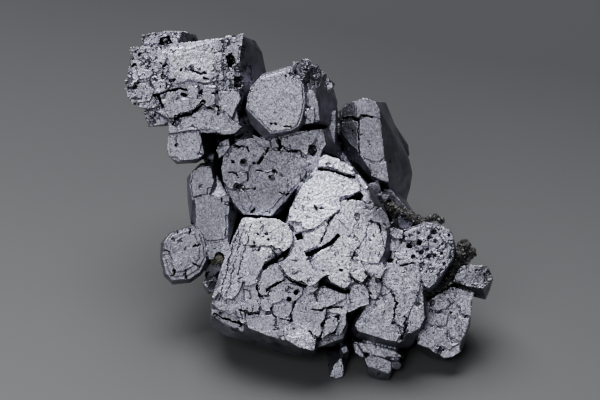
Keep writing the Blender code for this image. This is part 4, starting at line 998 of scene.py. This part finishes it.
@dataclass(frozen=True)
class GalenaFinish:
    """Lead-grey metal: etched faces scatter and have painted sparkle; smooth faces and gaps are painted
    near black as shade.
    """

    name: str = "galena_finish"
    dark: Colour = (0.28, 0.281, 0.345)
    light: Colour = (0.53, 0.532, 0.64)
    # Painted shade for smooth faces turned right or down; the darker one also colours the painted
    # sparkle's dark specks.
    smooth: Colour = (0.28, 0.283, 0.33)
    shaded_dark: Colour = (0.17, 0.172, 0.205)
    # Painted shade in cracks, pits and gaps.
    black: Colour = (0.006, 0.006, 0.008)
    # Painted highlight on convex edges.
    edge_highlight: Colour = (0.72, 0.72, 0.78)
    # Painted glints.
    glint: Colour = (0.80, 0.80, 0.88)
    roughness: tuple[float, float] = (0.36, 0.50)
    sparkle: tuple[float, float] = (0.18, 0.46)
    # How strong the painted sparkle of dark specks and glints is.
    painted_sparkle: float = 0.6
    grains_a_metre: float = 3500.0

    def make(self) -> bpy.types.Material:
        """Makes the material."""
        m = Nodes(self.name)
        place = m.node("ShaderNodeTexCoord").outputs["Object"]
        # Each area's tone, partly painted light and shade.
        tone_and_painted_light = m.attribute("tone_and_painted_light")
        # Smooth faces turned right or down, which get painted shade.
        smooth = m.attribute("smooth_shaded_face")
        patch = m.noise(place, scale=260, detail=5, roughness=0.62)
        fine = m.noise(place, scale=2600, detail=3, roughness=0.7)
        cells = m.node("ShaderNodeTexVoronoi", Scale=self.grains_a_metre)
        m.link(place, cells.inputs["Vector"])
        grain = cells.outputs["Color"]
        tone = m.math("ADD", m.math("MULTIPLY", patch, 0.3), m.math("MULTIPLY", fine, 0.3))
        tone = m.math("ADD", tone, m.math("MULTIPLY", grain, 0.4))
        body = m.ramp(tone, ((0.36, self.dark), (0.64, self.light)))
        # Painted sparkle: dark specks and bright glints in the grains, stronger where the tone is
        # brighter.
        strong = m.spread(tone_and_painted_light, 0.95, 1.5, 0.0, self.painted_sparkle)
        spots = m.math("MULTIPLY", m.between(grain, 0.60, 0.68), strong)
        glints = m.math("MULTIPLY", m.between(grain, 0.30, 0.22), strong)
        body = m.blend(spots, body, self.shaded_dark)
        body = m.blend(glints, body, self.glint)
        # The tone scales the colour: partly its own, partly painted light and shade.
        body = m.vector("SCALE", body, scale=tone_and_painted_light)
        # Painted highlight on convex edges.
        edge_highlight = m.math("MULTIPLY", m.between(m.attribute("edge_highlight"), 0.05, 0.12), 0.4)
        body = m.blend(edge_highlight, body, self.edge_highlight)
        # Painted shade on smooth faces turned right or down.
        unetched = m.ramp(patch, ((0.4, self.shaded_dark), (0.6, self.smooth)))
        body = m.blend(smooth, body, unetched)
        # Painted shade in cracks, pits and gaps.
        body = m.blend(m.attribute("crevice_shade"), body, self.black)
        m.surface.inputs["Metallic"].default_value = 1.0
        m.join(body, "Base Color")
        m.join(m.spread(fine, 0.3, 0.7, *self.roughness), "Roughness")
        tilt = m.vector("SUBTRACT", grain, (0.5, 0.5, 0.5))
        amount = m.math("MULTIPLY", m.spread(tone_and_painted_light, 0.8, 1.35, *self.sparkle), m.flip(smooth, 0.6))
        tilt = m.vector("SCALE", tilt, scale=amount)
        bump = m.bump(m.noise(place, scale=4200, detail=2, roughness=0.6), 0.25, 0.00015)
        m.join(m.vector("NORMALIZE", m.vector("ADD", bump, tilt)), "Normal")
        return m.material


@dataclass(frozen=True)
class CrustFinish:
    """Granular mineral: dull and mottled, with painted glints and painted shade between its grains."""

    name: str = "sphalerite_finish"
    dark: Colour = (0.0065, 0.0063, 0.0068)
    light: Colour = (0.050, 0.045, 0.043)
    # Painted glints, where the spot noise passes a threshold.
    glint: Colour = (0.33, 0.33, 0.35)
    glints_over: float = 0.62
    roughness: tuple[float, float] = (0.30, 0.70)

    def make(self) -> bpy.types.Material:
        """Makes the material."""
        m = Nodes(self.name)
        place = m.node("ShaderNodeTexCoord").outputs["Object"]
        patch = m.noise(place, scale=1100, detail=5, roughness=0.65)
        body = m.ramp(patch, ((0.35, self.dark), (0.7, self.light)))
        spot = m.noise(place, scale=1700, detail=2, roughness=0.5)
        # Painted glints.
        body = m.blend(m.between(spot, self.glints_over, self.glints_over + 0.04), body, self.glint)
        # Painted shade in the grooves between the grains.
        groove = m.between(m.attribute("groove"), 0.0, 0.12)
        m.join(m.blend(groove, body, self.dark), "Base Color")
        m.join(m.spread(patch, 0.35, 0.65, *self.roughness), "Roughness")
        m.join(m.bump(m.noise(place, scale=2600, detail=3, roughness=0.6), 0.5, 0.0002), "Normal")
        return m.material


class Nodes:
    """Builds a node material step by step."""

    def __init__(self, name: str) -> None:
        """Starts a material that has only its surface shader."""
        self.material = bpy.data.materials.new(name)
        self.material.use_nodes = True
        self.tree = self.material.node_tree
        self.surface = self.tree.nodes["Principled BSDF"]

    def node(self, kind: str, **values: float) -> bpy.types.Node:
        """Adds a node.

        Args:
            kind: Its type.
            **values: Fixed values for its sockets.

        Returns:
            The node.
        """
        made = self.tree.nodes.new(kind)
        for socket, value in values.items():
            made.inputs[socket].default_value = value
        return made

    def link(self, source: Socket, target: Socket) -> None:
        """Joins two sockets."""
        self.tree.links.new(source, target)

    def join(self, source: Socket, socket: str) -> None:
        """Joins a value to one of the surface shader's sockets."""
        self.link(source, self.surface.inputs[socket])

    def feed(self, target: Socket, value: object) -> None:
        """Gives a socket either another socket's value or a fixed one."""
        if isinstance(value, Socket):
            self.link(value, target)
        else:
            target.default_value = value

    def noise(self, place: Socket, scale: float, detail: float, roughness: float) -> Socket:
        """A fractal noise of the place."""
        made = self.node("ShaderNodeTexNoise", Scale=scale, Detail=detail, Roughness=roughness)
        self.link(place, made.inputs["Vector"])
        return made.outputs["Fac"]

    def attribute(self, name: str) -> Socket:
        """A number that the mesh keeps for each vertex."""
        made = self.node("ShaderNodeAttribute")
        made.attribute_name = name
        return made.outputs["Fac"]

    def math(self, kind: str, one: object, other: object) -> Socket:
        """A sum of two numbers."""
        made = self.node("ShaderNodeMath")
        made.operation = kind
        self.feed(made.inputs[0], one)
        self.feed(made.inputs[1], other)
        return made.outputs[0]

    def vector(
        self, kind: str, one: object, other: object = (0.0, 0.0, 0.0), scale: object = 1.0
    ) -> Socket:
        """A sum of two vectors."""
        made = self.node("ShaderNodeVectorMath")
        made.operation = kind
        self.feed(made.inputs[0], one)
        if kind == "SCALE":
            self.feed(made.inputs["Scale"], scale)
        elif kind != "NORMALIZE":
            self.feed(made.inputs[1], other)
        return made.outputs[0]

    def spread(self, value: Socket, low: float, high: float, start: float, end: float) -> Socket:
        """Maps a value's range to another one, and holds it there."""
        made = self.node("ShaderNodeMapRange")
        self.link(value, made.inputs["Value"])
        made.inputs["From Min"].default_value = low
        made.inputs["From Max"].default_value = high
        made.inputs["To Min"].default_value = start
        made.inputs["To Max"].default_value = end
        return made.outputs["Result"]

    def flip(self, value: Socket, share: float) -> Socket:
        """1 where the value is 0, and less by this share where it is 1."""
        return self.spread(value, 0.0, 1.0, 1.0, 1.0 - share)

    def between(self, value: Socket, low: float, high: float) -> Socket:
        """0 at low and 1 at high, even between them and held past them."""
        return self.spread(value, low, high, 0.0, 1.0)

    def ramp(self, value: Socket, stops: tuple[tuple[float, Colour], ...]) -> Socket:
        """Colours along a value."""
        made = self.node("ShaderNodeValToRGB")
        band = made.color_ramp
        for element, (place, colour) in zip(band.elements, stops):
            element.position = place
            element.color = (*colour, 1.0)
        self.link(value, made.inputs["Fac"])
        return made.outputs["Color"]

    def blend(self, share: Socket, base: object, over: object) -> Socket:
        """Lays a colour over another where the share is high."""
        made = self.node("ShaderNodeMix")
        made.data_type = "RGBA"
        self.link(share, made.inputs["Factor"])
        for socket, colour in ((made.inputs[6], base), (made.inputs[7], over)):
            self.feed(socket, (*colour, 1.0) if isinstance(colour, tuple) else colour)
        return made.outputs[2]

    def bump(self, height: Socket, strength: float, distance: float) -> Socket:
        """Relief too fine for the mesh."""
        made = self.node("ShaderNodeBump", Strength=strength, Distance=distance)
        self.link(height, made.inputs["Height"])
        return made.outputs["Normal"]


@dataclass(frozen=True)
class FloorFinish:
    """A plain matt sweep with painted light falloff: it grows darker towards the back and the right."""

    name: str = "floor_finish"
    near: Colour = (0.168, 0.170, 0.176)
    far: Colour = (0.040, 0.042, 0.046)
    near_at: float = -0.12
    far_at: float = 0.12
    sideways: float = 0.3

    def make(self) -> bpy.types.Material:
        """Makes the material."""
        m = Nodes(self.name)
        place = m.node("ShaderNodeTexCoord").outputs["Object"]
        apart = m.node("ShaderNodeSeparateXYZ")
        m.link(place, apart.inputs["Vector"])
        along = m.math("ADD", apart.outputs["Y"], m.math("MULTIPLY", apart.outputs["X"], self.sideways))
        cloudy = m.math("MULTIPLY", m.noise(place, scale=9, detail=3, roughness=0.5), 0.02)
        # Painted light falloff: darker towards the back and the right.
        share = m.between(m.math("ADD", along, cloudy), self.near_at, self.far_at)
        m.join(m.blend(share, self.near, self.far), "Base Color")
        m.surface.inputs["Roughness"].default_value = 0.9
        return m.material


@dataclass(frozen=True)
class Lamp:
    """A soft studio light: where it stands from the specimen, in metres, its size and its power."""

    name: str
    place: tuple[float, float, float]
    size: float
    watts: float


@dataclass
class Studio:
    """The pale floor, the soft lights and the camera at the photograph's angle."""

    sheet: Sheet = field(default_factory=Sheet)
    camera_away: float = 1.6
    seen_wide: float = 0.150
    sensor_mm: float = 36.0
    world_grey: float = 0.06
    floor_side: float = 6.0
    floor_under: float = 0.00005
    lit_place: tuple[float, float, float] = (0.0, 0.0, 0.03)
    bluish: float = 1.04
    lamps: tuple[Lamp, ...] = (
        Lamp("key_light", (-0.12, 0.32, 0.83), 0.7, 14.4),
        Lamp("front_fill", (-0.40, -0.76, 0.78), 0.6, 3.5),
    )

    def build(self) -> None:
        """Puts everything in place."""
        self.floor()
        self.light()
        self.camera()

    def floor(self) -> None:
        """The floor, a little under the specimen's flats."""
        bm = bmesh.new()
        bmesh.ops.create_grid(bm, x_segments=1, y_segments=1, size=self.floor_side / 2)
        mesh = bpy.data.meshes.new("floor")
        bm.to_mesh(mesh)
        bm.free()
        obj = new_object("floor", mesh)
        obj.location.z = -self.floor_under
        mesh.materials.append(FloorFinish().make())

    def light(self) -> None:
        """The lights and the dim room around them."""
        aim = Vector(self.lit_place)
        for lamp in self.lamps:
            data = bpy.data.lights.new(lamp.name, "AREA")
            data.energy = lamp.watts
            data.size = lamp.size
            obj = bpy.data.objects.new(lamp.name, data)
            obj.location = lamp.place
            obj.rotation_euler = (Vector(lamp.place) - aim).to_track_quat("Z", "Y").to_euler()
            bpy.context.scene.collection.objects.link(obj)
        world = bpy.data.worlds.new("dim_room")
        world.use_nodes = True
        back = world.node_tree.nodes["Background"]
        grey = self.world_grey
        back.inputs["Color"].default_value = (grey, grey, grey * self.bluish, 1.0)
        bpy.context.scene.world = world

    def camera(self) -> None:
        """The camera, square to the sheet and far enough away for a flat view."""
        out = Vector(self.sheet.axes()[2])
        aim = self.sheet.world(*self.sheet.middle, 0.0)
        data = bpy.data.cameras.new("camera")
        data.sensor_width = self.sensor_mm
        data.lens = self.sensor_mm * self.camera_away / self.seen_wide
        data.clip_end = 20.0
        obj = bpy.data.objects.new("camera", data)
        obj.location = aim + out * self.camera_away
        obj.rotation_euler = out.to_track_quat("Z", "Y").to_euler()
        bpy.context.scene.collection.objects.link(obj)
        bpy.context.scene.camera = obj


def main() -> None:
    """Builds the pieces in order and reports each."""
    logging.basicConfig(level=logging.INFO, format="%(message)s")
    sphalerite = CrustFinish()
    calcite = CrustFinish(
        name="calcite_finish",
        dark=(0.04, 0.039, 0.03),
        light=(0.155, 0.15, 0.112),
        glint=(0.22, 0.215, 0.165),
        glints_over=0.7,
        roughness=(0.5, 0.7),
    )
    pieces = (
        GalenaCluster(),
        Crust("sphalerite_crust", "brown_crust", "sphalerite", sphalerite),
        Crust("sphalerite_ridge", "brown_ridge", "sphalerite_ridge", sphalerite),
        Crust("calcite_grain", "tan_grain", "calcite", calcite),
    )
    for piece in pieces:
        piece.build()
    Studio().build()
    bpy.context.view_layer.update()


if __name__ == "__main__":
    main()
